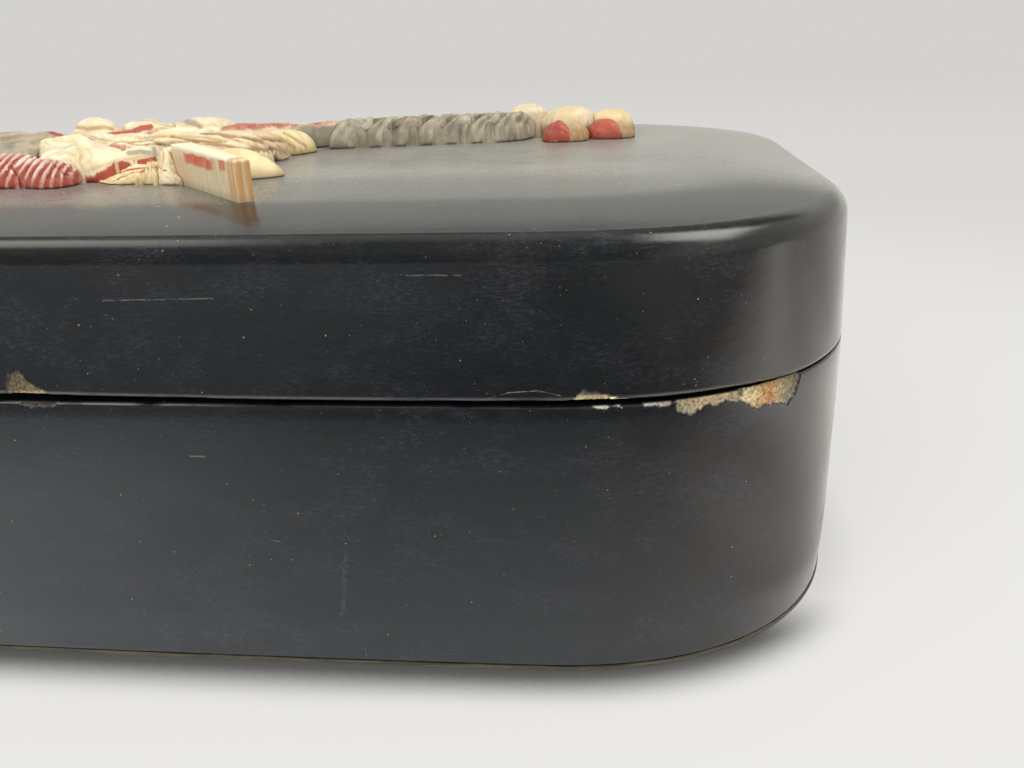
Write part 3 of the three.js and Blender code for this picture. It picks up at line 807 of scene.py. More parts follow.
def needle_style(c):
    """Pine needles: slanting strokes of many lengths, with hollows among them."""
    c.rise(c.swell(7, 1.7) * (0.96 + 0.04 * c.noise(5)))
    phase = (c.fx - 0.85 * c.fz) / 2.6 + 0.4 * c.noise(6, 1)
    strokes = ridged(phase, 0.8)
    hollows = ease(0.15, 0.6, c.noise(4.5, 7))
    pale = ease(0.5, 0.95, strokes) * ease(-0.3, 0.5, c.noise(4, 2))
    cut = 0.6 * (1 - strokes) + 0.12 * grooved(2.7 * phase + 0.5, 0.8) + 0.5 * hollows
    return cut, {"cream": 0.6 * pale, "dark": 0.08 + 0.35 * hollows * (1 - pale)}


def bark_style(c):
    """A branch with lines of bark along it."""
    c.rise(c.swell(5, 1.7))
    lines = ridged((c.fz - 0.1 * c.fx) / 1.9 + 0.5 * c.noise(7), 0.6)
    # The ochre low on the branch is painted shade.
    paint = {"green": 0.35 * ease(-0.2, 0.5, c.noise(5, 3)), "cream": 0.4 * ease(0.8, 1, lines),
             "ochre": 0.5 * fall(0.2, 0.8, c.t), "dark": 0.1}
    return 0.5 * (1 - lines), paint


def ribbon_style(c):
    """A strip with a thin pink crest, turning orange at its right end, over a mottled front that turns
    grey-green to the right."""
    c.rise(c.swell(6, 1.7))
    mottle = c.noise(3.2, 4)
    crest = ease(0.72, 0.9, c.t + 0.1 * mottle)
    right = ease(0.3, 0.8, c.u)
    paint = {"red": 0.37 * crest * (1 - 0.4 * right) + 0.18 * (1 - right), "orange": 0.9 * right,
             "green": 1.1 * (1 - crest) * ease(-0.2, 0.3, c.u), "ochre": 0.5 * crest, "dark": 0.14}
    return 0.5 * ease(-0.2, 0.5, mottle), paint


def wave_style(c):
    """A petal with two pale lips."""
    c.rise(c.swell(5, 1.7))
    return 0.3 * grooved(c.v + 0.2 * np.sin(3.4 * c.u), 0.6), {"ochre": 0.6, "dark": 0.1}


def cap_style(c):
    """A curled cap over a grey-green front, with a dark line between them."""
    c.rise(c.swell(7, 2))
    split, share = (0.5, 1.1) if c.node == "cream_cap_left" else (0.3, 0.8)
    level = c.t + 0.08 * c.noise(4)
    under = fall(split, split + 0.1, level)
    line = bell(level - split - 0.06, 0.05)
    # The front under the cap is grey-green paint, darkened and browned further as painted shade.
    paint = {"green": 0.25 + share * under, "dark": 0.7 * line * share + 0.3 * under,
             "ochre": 0.45 + 0.35 * under}
    return 0.4 * line + 0.25 * under, paint


def bloom_style(c):
    """A small full flower: a red ball of wound petals, and a pale lobe on its right."""
    split = {"red_blossom_left": 0.12, "red_blossom_right": 0.28}.get(c.node, 2)
    valley = bell(c.u - split, 0.2)
    c.rise(c.swell(7, 2) * (1 - 0.28 * valley) * (1 - 0.15 * ease(split, 1, c.u)))
    turn = np.arctan2(c.fz - 3, c.fx - np.mean(c.fx)) / (2 * math.pi)
    spiral = grooved(c.rim / 2.6 - turn + 0.15 * c.noise(4), 0.7)
    red = fall(split - 0.25, split + 0.15, c.u + 0.2 * c.noise(3))
    worn = 0.5 * fall(0.1, 0.35, c.t) * ease(-0.4, 0.3, c.noise(2.4, 6))
    # The ochre low on the pale lobe and the dark low in the valley are painted shade.
    paint = {"red": 1.1 * red - worn, "orange": 0.9 * ease(-0.3, 0.4, c.noise(5, 8)),
             "ochre": (1 - red) * (1.2 - 0.4 * ease(0.4, 0.9, c.t)),
             "dark": 0.18 + 0.4 * valley * fall(0.5, 0.9, c.t)}
    return 0.35 * spiral, paint


def heart_style(c):
    """A flower's heart, cut into small beads."""
    c.rise(c.swell(5, 1.8))
    between = 1 - ridged(c.along / 2.1, 0.5) * ridged(c.across / 2.1, 0.5)
    return 0.6 * between, {"ochre": 0.6 * between}


def knot_style(c):
    """An upright knob with a hole through its top, and a low ribbed leaf before it."""
    knob = ease(-0.5, 0.15, c.v + 0.1 * c.noise(4))
    c.rise(c.swell(5, 1.5) * (0.36 + 0.64 * knob))
    ribs = grooved((c.fx + 1.2 * c.fz) / 2.2 + 0.15 * c.noise(5), 0.7)
    cut = 0.2 * bell(c.noise(4, 3), 0.15) * knob + 0.15 * ribs * (1 - knob)
    # The ochre low on the leaf before the knob is painted shade.
    return cut, {"ochre": (1 - knob) * (0.15 + 0.4 * ribs + 0.3 * fall(0.1, 0.4, c.t))}


def tongue_style(c):
    """A smooth pointed petal, lower towards its point."""
    c.rise(c.swell(9, 1.6) * (1 - 0.3 * ease(0.0, 1, c.u)))
    # The ochre low on its flanks is painted shade.
    return 0, {"ochre": 0.2 + 0.3 * fall(0.15, 0.6, c.t) + 0.2 * ease(0.6, 1, c.u)}


# How the pieces are carved: style, ground colour, depth and length in mm of the scallops along free
# edges, and each piece's turn in degrees.
CARVINGS = [
    (slab_style, "cream", 0, 9, {"wedge_slab": -49.6}),
    (knot_style, "cream", 0.2, 4, {"knot_with_hole": 20}),
    (tongue_style, "pale", 0.1, 9, {"pointed_petal": 8}),
    (lump_style, "cream", 0.4, 5, {"cream_boulder": 8}),
    (pod_style, "cream", 0.2, 6, {"long_pod": 6}),
    (fan_style, "pale", 0.4, 5, {"scalloped_leaf_left": -4}),
    (fan_style, "pale", 0.3, 5, {"scalloped_leaf_right": -4}),
    (pleat_style, "red", 0.4, 3, {"red_pleat_right": -14, "red_pleat_middle": 10, "red_pleat_left": 8}),
    (fold_style, "cream", 0.5, 6, {"folded_petal_front": -10, "folded_petal_middle": 4}),
    (fold_style, "blush", 0.5, 5, {"folded_petal_back": 14}),
    (streaked_style, "pale", 0.4, 6, {"ochre_leaf": -30}),
    (ribbon_style, "blush", 0.5, 7, {"red_ribbon": 28}),
    (wave_style, "cream", 0.4, 5, {"wavy_petal": 8}),
    (bud_style, "cream", 0.7, 5, {"bud_left": 0}),
    (mottled_style, "cream", 0.5, 5, {"bud_middle": 30}),
    (mottled_style, "cream", 0.5, 6, {"bud_right": 10}),
    (leaf_style, "green", 0.5, 3, {"leaf_back_middle": 16, "leaf_back_right": 22}),
    (cap_style, "cream", 0.3, 5, {"cream_cap_left": 10, "cream_cap_middle": 8}),
    (cap_style, "pale", 0.2, 7, {"cream_cap_right": 24}),
    (bloom_style, "cream", 0.5, 4, {"red_blossom_left": 10}),
    (bloom_style, "pale", 0.5, 4, {"red_blossom_right": 20}),
    (bark_style, "ochre", 0.4, 5, {"branch_right": 6, "branch_left": 10}),
    (bloom_style, "blush", 0.4, 4, {"red_bud": 70}),
    (leaf_style, "green", 0.5, 3, {"leaf_back_left": 154, "leaf_end_left": 160, "leaf_front_left": -24}),
    (plume_style, "red", 0.6, 2.6, {"plume_front_left": -8}),
    (plume_style, "cream", 0.6, 2.6, {"plume_middle_left": 10}),
    (plume_style, "green", 0.6, 2.6, {"plume_back_left": 22}),
    (plume_style, "ochre", 0.6, 2.6, {"plume_inner_left": 40}),
    (heart_style, "cream", 0.1, 3, {"blossom_heart": 0}),
    (heart_style, "ochre", 0.1, 3, {"end_blossom_heart": 0}),
    (petal_style, "cream", 0.5, 6, {f"blossom_petal_{n + 1}": 60.0 * n for n in range(6)}),
    (petal_style, "cream", 0.5, 6, {"end_blossom_petal_1": 0.0, "end_blossom_petal_2": 90.0}),
    (petal_style, "red", 0.5, 6, {"end_blossom_petal_3": 180.0}),
    (petal_style, "cream", 0.5, 6, {"end_blossom_petal_4": 270.0}),
    (needle_style, "green", 0.4, 2.4, {f"pine_tuft_{n + 1}": 46 for n in range(7)}),
]
CARVED = {node: (style, ground, turn, *scallops)
          for style, ground, *scallops, turns in CARVINGS for node, turn in turns.items()}
OUTLINES = {node: base_outline(node) for node in CARVED}
HEIGHTS = {node: (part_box(node)[1].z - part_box(node)[0].z) / MM for node in CARVED}

# Single strokes of the knife and the brush: their pieces, paint, width in mm, strength, depth of cut in
# mm, and line on the upright plane before the relief.
LEAVES = "scalloped_leaf_left scalloped_leaf_right knot_with_hole"
BOULDER = "cream_boulder"
BOULDER_AND_POD = "cream_boulder long_pod"
STROKES = [
    (BOULDER_AND_POD, "red", 1.08, 1.2, 0.25,
     [(-18.6, 1.4), (-16.1, 2.8), (-13.0, 3.7), (-9.6, 4.6), (-5.7, 5.1), (-1.3, 5.8)]),
    (BOULDER, "red", 1.3, 0.8, 0.0, [(-20.7, 0.7), (-18.2, 1.4), (-15.6, 2.2)]),
    (BOULDER_AND_POD, "ochre", 1.4, 0.7, 0.1,
     [(-19.7, 2.9), (-15.8, 4.3), (-10.3, 5.5), (-2.5, 6.6)]),
    (BOULDER, "green", 1.1, 0.4, 0.25, [(-18.9, 8.6), (-18.0, 7.0), (-19.1, 5.4), (-18.9, 3.7)]),
    (BOULDER, "green", 1.1, 0.4, 0.25, [(-21.8, 9.5), (-20.4, 7.3), (-21.8, 5.2), (-21.0, 2.9)]),
    (BOULDER, "green", 1.1, 0.4, 0.25, [(-27.7, 7.0), (-25.2, 7.9), (-23.0, 7.1), (-22.4, 5.2)]),
    (BOULDER, "green", 1.1, 0.4, 0.25, [(-26.1, 5.0), (-24.1, 4.7), (-22.7, 2.9), (-20.4, 2.2)]),
    (BOULDER, "ochre", 0.5, 0.7, 0.3, [(-28.7, 5.3), (-26.2, 6.0), (-23.9, 5.6)]),
    (BOULDER, "red", 1.6, 0.7, 0.0, [(-29.2, 3.0), (-25.3, 1.8), (-21.9, 0.9)]),
    (BOULDER_AND_POD, "green", 1.6, 0.8, 0.0, [(-8.2, 7.4), (-5.2, 7.6), (-1.8, 7.2)]),
    ("long_pod knot_with_hole", "dark", 1.0, 0.7, 0.4, [(-1.2, 8.6), (-0.9, 7.1), (-1.4, 5.5)]),
    (LEAVES, "red", 0.5, 0.8, 0.3, [(-16.5, 0.8), (-13.3, 2.1), (-9.6, 3.1), (-5.3, 3.7), (0.0, 3.7)]),
    (LEAVES, "red", 0.4, 0.7, 0.3, [(-14.4, 0.0), (-11.3, 1.4), (-7.9, 2.5), (-3.7, 3.0), (1.6, 2.9)]),
    (LEAVES, "ochre", 0.4, 0.7, 0.3, [(-11.6, -0.2), (-8.7, 1.1), (-5.6, 1.9), (-1.5, 2.2), (3.2, 1.9)]),
    (LEAVES, "ochre", 0.4, 0.6, 0.3, [(-7.8, -0.4), (-5.3, 0.6), (-1.6, 1.2), (2.4, 0.9)]),
    ("knot_with_hole", "ochre", 1.4, 1.1, 0.9, [(3.8, 7.2), (4.3, 6.8)]),
    ("knot_with_hole", "ochre", 0.5, 0.7, 0.4, [(0.7, 8.0), (0.9, 6.5), (0.3, 4.9)]),
    ("knot_with_hole", "ochre", 0.5, 0.6, 0.3, [(-1.0, 4.2), (1.2, 4.3), (4.6, 4.8)]),
    ("folded_petal_middle folded_petal_front blossom_petal_6 blossom_heart", "ochre", 0.7, 0.9, 0.5,
     [(-9.4, 10.4), (-4.9, 9.2), (0.9, 9.5), (7.9, 9.9), (13.6, 9.3), (19.0, 7.5)]),
    ("folded_petal_middle blossom_petal_2 blossom_heart", "ochre", 0.8, 0.8, 0.5,
     [(-4.6, 11.3), (1.2, 11.4), (7.0, 11.5), (12.7, 11.1), (17.1, 9.7), (20.8, 7.9)]),
    ("folded_petal_middle folded_petal_back", "red", 0.9, 0.5, 0.3,
     [(17.3, 11.3), (21.1, 9.9), (24.3, 8.2)]),
    ("folded_petal_middle folded_petal_back", "ochre", 0.7, 0.7, 0.3,
     [(20.7, 11.6), (24.5, 10.3), (28.3, 8.5), (29.8, 6.8)]),
    ("blossom_heart blossom_petal_3 blossom_petal_4", "ochre", 0.8, 0.8, 0.4,
     [(-19.6, 12.5), (-16.3, 11.4), (-11.8, 10.2), (-6.0, 9.9), (-1.3, 10.2)]),
    ("bud_middle wavy_petal blossom_petal_3", "red", 1.7, 0.8, 0.4,
     [(-16.9, 14.0), (-13.5, 13.5), (-10.2, 12.3), (-6.7, 12.5), (-3.6, 13.5), (-1.2, 13.9)]),
    ("bud_left", "ochre", 1.3, 1.0, 0.3, [(-21.8, 14.1), (-18.2, 13.4), (-13.4, 13.9), (-11.2, 13.3)]),
    ("bud_right", "green", 1.8, 0.8, 0.3, [(8.2, 15.2), (10.9, 14.4), (11.9, 13.5)]),
    ("bud_right", "green", 1.0, 0.7, 0.2, [(4.7, 15.0), (5.1, 13.7)]),
    ("bud_right bud_middle", "ochre", 0.5, 0.7, 0.4, [(-0.5, 15.1), (2.8, 14.0), (5.0, 13.6)]),
    ("ochre_leaf", "ochre", 0.8, 1.1, 0.5, [(31.0, 11.2), (33.5, 9.4), (36.1, 7.7), (37.8, 6.5)]),
    ("ochre_leaf", "ochre", 0.7, 1.0, 0.5, [(33.2, 11.9), (35.8, 10.2), (38.9, 8.0)]),
    ("ochre_leaf folded_petal_back", "ochre", 0.7, 0.9, 0.4, [(29.6, 10.0), (31.6, 8.3), (33.7, 6.4)]),
    ("cream_boulder red_pleat_right", "dark", 0.7, 0.5, 0.4,
     [(-29.4, 6.1), (-28.3, 4.1), (-26.4, 2.3), (-23.5, 0.9)]),
]

SIDE_SHARES = [(0, 1), (0.5, 0.25)]  # height share and undercut share up a free side, below the rim
SLAB_SIDE_ROWS = 22
PAINTS = ("red", "orange", "ochre", "green", "cream", "dark")


def line_distance(points, line):
    """Distance of each point from an open line."""
    nearest = np.full(len(points), np.inf)
    for start, end in zip(np.array(line[:-1], float), np.array(line[1:], float)):
        along = end - start
        share = np.clip((points - start) @ along / (along @ along), 0, 1)
        nearest = np.minimum(nearest, np.linalg.norm(points - start - share[:, None] * along, axis=1))
    return nearest


def add_strokes(c, cut, paint):
    """Cuts and paints the single strokes that cross a piece."""
    seen = np.column_stack([c.fx, c.fz])
    for pieces, channel, width, strength, depth, line in STROKES:
        if c.node in pieces.split():
            away = line_distance(seen, line) + STROKE_WANDER * width * c.noise(2, len(line))
            share = fall(*STROKE_EDGE, away / width)
            cut = cut + depth * share
            paint[channel] = np.maximum(paint.get(channel, 0), strength * share)
    return cut


def carved_shape(node, style, turn, *scallops):
    """The solid of one carved piece: its top, its sides and its flat foot."""
    c = Carving(node, math.radians(turn), scallops)
    cut, paint = style(c)
    cut = add_strokes(c, cut, paint) + TOOL_MARKS * (1 + c.noise(1.4, 20))
    cut = cut * ease(0, 0.7, c.rim)
    tops = c.surface() - c.normals() * np.reshape(np.broadcast_to(cut, len(c.points)), (-1, 1))
    tops[:, 2] = np.clip(tops[:, 2], c.base + LEAST_HEIGHT, c.base + c.height)
    count = len(c.outline)
    steps = [(i / SLAB_SIDE_ROWS, 0) for i in range(SLAB_SIDE_ROWS)] if style is slab_style else SIDE_SHARES
    rim = tops[:count, 2] - c.base
    inwards = -UNDERCUT * (1 - c.joined)[:, None] * outwards(c.outline)
    rows = [np.column_stack([c.outline + under * inwards, c.base + rim * up]) for up, under in steps]
    points = np.vstack([tops] + rows[::-1])
    ring = np.arange(count)
    after = (ring + 1) % count
    levels = [ring] + [len(tops) + i * count + ring for i in range(len(rows))]
    faces = c.faces.tolist()
    for high, low in zip(levels, levels[1:]):
        faces += np.stack([low, low[after], high[after], high], 1).tolist()
    faces.append(levels[-1][::-1].tolist())
    shape = new_mesh(node + "_carved", points, faces, CARVED_SHARP_ANGLE)
    for name in PAINTS:
        values = np.clip(np.broadcast_to(paint.get(name, 0), len(c.points)), 0, MOST_PAINT)
        set_values(shape, name, np.concatenate([values, np.tile(values[:count], len(rows))]))
    hollow = sunk(tops, c.faces) * ease(0.05, 0.9, c.rim)
    set_values(shape, "hollow", np.concatenate([hollow, np.zeros(count * len(rows))]))
    local = points[:, :2] @ c.axes.T - c.middle
    set_values(shape, "place", np.column_stack([local, points[:, 2] - c.base]))
    return shape


def sunk(points, faces, rounds=7):
    """How far each point lies below the mean of its neighbourhood, in mm."""
    pairs = np.vstack([faces[:, [0, 1]], faces[:, [1, 2]], faces[:, [2, 0]]])
    height = points[:, 2].copy()
    counts = np.bincount(pairs.ravel(), minlength=len(points)).clip(1)
    for _ in range(rounds):
        total = np.bincount(pairs[:, 0], height[pairs[:, 1]], len(points))
        total += np.bincount(pairs[:, 1], height[pairs[:, 0]], len(points))
        height = 0.5 * height + 0.5 * total / counts
    return height - points[:, 2]


# Shader sums.

SURFACE_IOR = 1.5


class Value:
    """A socket in a material's nodes, on which sums are written."""

    def __init__(self, look, socket):
        self.look = look
        self.socket = socket

    def _sum(self, operation, first, second):
        if self.socket.type in ("VECTOR", "RGBA"):
            return self.look.add("ShaderNodeVectorMath", {"operation": operation}, {0: first, 1: second})
        return self.look.add("ShaderNodeMath", {"operation": operation}, {0: first, 1: second})

    def __add__(self, other):
        return self._sum("ADD", self, other)

    def __sub__(self, other):
        return self._sum("SUBTRACT", self, other)

    def __rsub__(self, other):
        return self._sum("SUBTRACT", other, self)

    def __mul__(self, other):
        return self._sum("MULTIPLY", self, other)

    def __pow__(self, other):
        return self._sum("POWER", self, other)

    __radd__ = __add__
    __rmul__ = __mul__


class Look:
    """One material or world, and the nodes that make it."""

    def __init__(self, owner):
        self.owner = owner
        owner.use_nodes = True
        self.tree = owner.node_tree
        self.tree.nodes.clear()

    def add(self, kind, settings=None, sockets=None, out=None):
        """A node of a type, with its settings, then its sockets' values or links."""
        node = self.tree.nodes.new(kind)
        for name, value in (settings or {}).items():
            setattr(node, name, value)
        for name, value in (sockets or {}).items():
            socket = node.inputs[name]
            if isinstance(value, Value):
                self.tree.links.new(value.socket, socket)
                continue
            if socket.type == "RGBA" and len(value) == 3:
                value = (*value, 1)
            if socket.type == "VECTOR" and not hasattr(value, "__len__"):
                value = (value,) * 3
            socket.default_value = value
        if out is None:
            socket = next((s for s in node.outputs if s.enabled), None)
            return Value(self, socket) if socket else node
        return Value(self, node.outputs[out])

    def step(self, value, low, high):
        """0 where the value is below low, 1 above high, smooth between."""
        settings = {"interpolation_type": "SMOOTHSTEP", "clamp": True}
        return self.add("ShaderNodeMapRange", settings, {"Value": value, "From Min": low, "From Max": high})

    def fall(self, value, low, high):
        """1 where the value is below low, 0 above high, smooth between."""
        return 1 - self.step(value, low, high)

    def band(self, value, low, full, fading, gone):
        """0 below low, 1 from full to fading, and 0 again above gone."""
        return self.step(value, low, full) * self.fall(value, fading, gone)

    def axis(self, vector, name):
        """One part of a vector: X, Y or Z."""
        return self.add("ShaderNodeSeparateXYZ", {}, {"Vector": vector}, out=name)

    def mix(self, first, second, share):
        """A colour between two, by a share."""
        settings = {"data_type": "RGBA", "clamp_factor": True}
        sockets = {"Factor": share, 6: first, 7: second}
        return self.add("ShaderNodeMix", settings, sockets, out=2)

    def places(self, stretch=(1, 1, 1)):
        """The place on the object in mm, stretched along its axes."""
        place = self.add("ShaderNodeTexCoord", out="Object")
        return place * tuple(s / MM for s in stretch)

    def noise(self, place, size, detail=3.0, roughness=0.55):
        """Noise from 0 to 1 with features of a size in mm."""
        sockets = {"Vector": place, "Scale": 1 / size, "Detail": detail, "Roughness": roughness}
        return self.add("ShaderNodeTexNoise", {}, sockets, out="Fac")

    def read(self, name, out="Fac"):
        """A value that the mesh holds for each of its points."""
        return self.add("ShaderNodeAttribute", {"attribute_name": name}, out=out)

    def specks(self, place, spacing, radius, keep):
        """Scattered round specks: their spacing and radius in mm, and the share of places that have one."""
        sockets = {"Vector": place, "Scale": 1 / spacing}
        settings = {"voronoi_dimensions": "3D", "feature": "F1"}
        near = self.add("ShaderNodeTexVoronoi", settings, sockets, out="Distance")
        chance = self.add("ShaderNodeTexVoronoi", settings, sockets, out="Color")
        chance = self.axis(chance, "X")
        size = radius / spacing
        return self.fall(near, size * 0.5, size) * self.step(chance, 1 - keep, 1.001 - keep)

    def bump(self, height, depth, normal=None):
        """A normal from a height from 0 to 1 and a depth in mm."""
        sockets = {"Height": height, "Distance": depth * MM, "Strength": 1.0}
        if normal is not None:
            sockets["Normal"] = normal
        return self.add("ShaderNodeBump", {}, sockets)

    def blend(self, share, first, second):
        """A shader between two, by a share."""
        return self.add("ShaderNodeMixShader", {}, {0: share, 1: first, 2: second})

    def by_ray(self, seen, reflected, others):
        """One shader for what the camera sees, one for reflections and one for all other light."""
        is_camera = self.add("ShaderNodeLightPath", out="Is Camera Ray")
        is_glossy = self.add("ShaderNodeLightPath", out="Is Glossy Ray")
        return self.blend(is_camera, self.blend(is_glossy, others, reflected), seen)

    def finish(self, shader, kind="ShaderNodeOutputMaterial"):
        """Ends the nodes with their output, and gives the finished material or world."""
        self.add(kind, {}, {"Surface": shader})
        return self.owner

    def surface(self, colour, roughness, normal):
        """The finished material, made of one main shader."""
        sockets = {"Base Color": colour, "Roughness": roughness, "Normal": normal, "IOR": SURFACE_IOR}
        return self.finish(self.add("ShaderNodeBsdfPrincipled", {}, sockets))


def new_look(name):
    """A new material to add nodes to."""
    return Look(bpy.data.materials.new(name))


COOL_BLACK = (0.0045, 0.0062, 0.0078)
WARM_BLACK = (0.0085, 0.008, 0.008)
WARM_FROM = (118, 134)  # where the black turns warmer towards the right corner, along X
SCUFFED = (0.045, 0.045, 0.052)
WORN_BROWN = (0.03, 0.017, 0.015)
WORN_RIDGE = (84, 90, 94.8, 95.4)  # the shoulder's worn band, by height
TOP_FROM = (94.9, 95.8)  # where the lid's upper side starts, by height
DUST_AND_PAINTED_SHEEN = (0.36, 0.35, 0.31)  # the pale look of the lid's top at a low angle: partly dust, partly a painted sheen
SHEEN_FACING = (0.815, 0.9)
HIGHLIGHT_STREAK_DEEP = (-60, -42, -36, -16)  # a painted highlight band in that sheen, along Y
HIGHLIGHT_STREAK_ACROSS = (0, 45, 105, 150)  # and along X
DUST = (0.5, 0.5, 0.48)
# pale lacquer along the seam's edges: partly wear, partly a painted highlight
WORN_EDGE_AND_HIGHLIGHT = (0.3, 0.29, 0.28)


def lacquer_look(name, inside=False):
    """Old black lacquer: brush lines, a dusty haze, specks, red-brown worn ridges and chips, pale seam edges
    that are partly a painted highlight, and a painted sheen on the lid's top.
    """
    look = new_look(name)
    place = look.places()
    height = look.axis(place, "Z")
    across = look.axis(place, "X")
    facing = look.add("ShaderNodeLayerWeight", {}, {"Blend": 0.5}, out="Facing")
    brushed = look.noise(look.places((0.03, 0.03, 1)), 0.55, 4, 0.6)
    clouds = look.noise(look.places((0.55, 0.55, 1)), 11, 7, 0.72)
    haze = look.step(clouds, 0.42, 0.7)
    grain = look.step(look.noise(look.places((0.3, 0.3, 1)), 0.42, 4, 0.75), 0.42, 0.7)
    warm = look.step(across + 14 * (clouds - 0.5), *WARM_FROM)
    black = look.mix(COOL_BLACK, WARM_BLACK, warm)
    black = look.mix(black, SCUFFED, 0.13 * grain + haze * (0.08 + 0.5 * grain))
    ridge = look.band(height, *WORN_RIDGE)
    worn = ridge * look.step(look.noise(look.places((0.3, 0.3, 1)), 7, 5, 0.65), 0.45, 0.75)
    black = look.mix(black, WORN_BROWN, worn * 0.45)
    top = look.step(height, *TOP_FROM)
    # At a low angle the lid's top turns pale: partly dust, partly a painted sheen, with a painted highlight
    # band in it.
    dust_and_sheen = top * look.step(facing, *SHEEN_FACING)
    deep = look.axis(place, "Y") + 10 * (clouds - 0.5)
    painted_highlight_streak = look.band(deep, *HIGHLIGHT_STREAK_DEEP) * look.band(across, *HIGHLIGHT_STREAK_ACROSS)
    black = look.mix(black, DUST_AND_PAINTED_SHEEN, dust_and_sheen * (0.62 + 0.2 * haze + 0.26 * painted_highlight_streak))
    dust = 0.8 * look.specks(place, 2.4, 0.2, 0.2) + 0.6 * look.specks(place, 1.2, 0.11, 0.16)
    dust = dust + top * look.specks(look.places((0.6, 1, 1)), 2.6, 0.34, 0.16)
    black = look.mix(black, DUST, dust * 0.75)
    way = look.read("way")
    broken = look.step(look.noise(look.places((0.6, 1, 1)), 1.1, 3, 0.7), 0.4, 0.58)
    for start, end, reach, tone, strength in MARKS:
        run, rise = end[0] - start[0], end[1] - start[1]
        share = ((way - start[0]) * run + (height - start[1]) * rise) * (1 / (run * run + rise * rise))
        share = look.add("ShaderNodeClamp", {}, {"Value": share})
        aside = (way - start[0] - share * run) ** 2 + (height - start[1] - share * rise) ** 2
        line = look.fall(aside * (1.6 - 1.2 * grain), reach * reach * 0.2, reach * reach)
        black = look.mix(black, tone, line * broken * strength)
    # The seam's edges are painted pale: partly wear, partly a painted highlight.
    edge = look.read("edge") * look.step(look.noise(look.places((0.15, 0.15, 1)), 1.2, 3), 0.3, 0.6)
    black = look.mix(black, WORN_EDGE_AND_HIGHLIGHT, edge * 0.6)
    chip = look.read("chip")
    ground = look.read("ground", "Color")
    crumbs = look.noise(place, 0.6, 4, 0.75)
    ground = look.mix(ground * 0.35, ground * 1.3, look.step(crumbs, 0.34, 0.6))
    colour = look.mix(black, ground, chip)
    gloss = 0.15 + 0.07 * haze + 0.05 * grain + 0.3 * dust + 0.03 * top + 0.1 * dust_and_sheen
    if inside:
        gloss = gloss + 0.2
    gloss = gloss * (1 - chip) + 0.8 * chip
    normal = look.bump(brushed, 0.006)
    normal = look.bump(clouds, 0.07, normal)
    normal = look.bump(dust + chip * crumbs, 0.12, normal)
    return look.surface(colour, gloss, normal)


BOARD_TONES = ((0.035, 0.03, 0.018), (0.1, 0.085, 0.055))
BOARD_STAIN = (0.03, 0.028, 0.025)


def board_look():
    """The bare edge of the bottom board: olive-brown wood, darker in its grain."""
    look = new_look("bare_board")
    grain = look.noise(look.places((0.04, 0.04, 1)), 0.4, 4)
    stains = look.noise(look.places(), 14, 4)
    colour = look.mix(*BOARD_TONES, look.step(grain, 0.35, 0.65))
    colour = look.mix(colour, BOARD_STAIN, look.step(stains, 0.5, 0.7) * 0.7)
    return look.surface(colour, 0.55 + 0.3 * grain, look.bump(grain, 0.05))


# Each ground's two tones, and the record's slot of the pieces on it.
GROUNDS = {
    "cream": ((0.72, 0.58, 0.34), (0.86, 0.77, 0.53), "cream"),
    "pale": ((0.76, 0.6, 0.3), (0.88, 0.76, 0.43), "cream"),
    "blush": ((0.7, 0.5, 0.34), (0.8, 0.66, 0.47), "red"),
    "red": ((0.68, 0.42, 0.33), (0.8, 0.63, 0.52), "red"),
    "ochre": ((0.34, 0.27, 0.17), (0.5, 0.42, 0.29), "ochre"),
    "green": ((0.24, 0.21, 0.15), (0.42, 0.36, 0.26), "green"),
}
RED_PAINT = ((0.31, 0.042, 0.03), (0.49, 0.105, 0.065))
ORANGE_PAINT = (0.58, 0.12, 0.05)
OCHRE_WASH = (0.45, 0.28, 0.12)
GREY_GREEN = (0.26, 0.235, 0.17)
BARE_CREAM = (0.6, 0.54, 0.37)
GRIME_AND_SHADE = (0.1, 0.065, 0.04)


def relief_look(name):
    """Carved and painted bone: a warm ground, brushed colours worn off the heights, and grime with painted
    shade in the hollows.
    """
    look = new_look("painted_" + name)
    place = look.places()
    low, high, _ = GROUNDS[name]
    patches = look.noise(place, 6, 4)
    fine = look.noise(place, 0.6, 4, 0.65)
    streaky = 0.5 * (fine - 0.5) + 0.35 * (patches - 0.5)
    colour = look.mix(low, high, look.step(patches, 0.35, 0.65))
    hollow = look.read("hollow")
    colour = look.mix(colour, OCHRE_WASH, look.step(look.read("ochre") + streaky, 0.05, 1.25))
    colour = look.mix(colour, GREY_GREEN, look.step(look.read("green") + streaky, 0.05, 1.1))
    colour = look.mix(colour, BARE_CREAM, look.read("cream"))
    red = look.mix(*RED_PAINT, patches)
    red = look.mix(red, ORANGE_PAINT, look.read("orange") * patches)
    worn = look.step(hollow * -1.0 + 0.3 * (fine - 0.5), 0.12, 0.5)
    colour = look.mix(colour, red, look.step(look.read("red") + streaky - 0.45 * worn, 0.2, 0.7))
    # Hollows are darkened: partly grime, partly painted shade.
    grime_and_shade = look.step(hollow + 0.2 * (fine - 0.5), 0.03, 0.55)
    colour = look.mix(colour, GRIME_AND_SHADE, grime_and_shade * 0.5 + look.read("dark") * 0.75)
    gloss = 0.28 + 0.25 * fine + 0.3 * grime_and_shade
    return look.surface(colour, gloss, look.bump(fine, 0.05))


SLAB_TONES = ((0.66, 0.52, 0.31), (0.78, 0.67, 0.45))
SLAB_CREST = (0.88, 0.78, 0.54)
SLAB_RED = (0.62, 0.1, 0.055)
SLAB_BLUSH = (0.66, 0.36, 0.26)
SLAB_OCHRE = (0.6, 0.31, 0.1)
SLAB_FOOT_SHADE = (0.34, 0.3, 0.2)


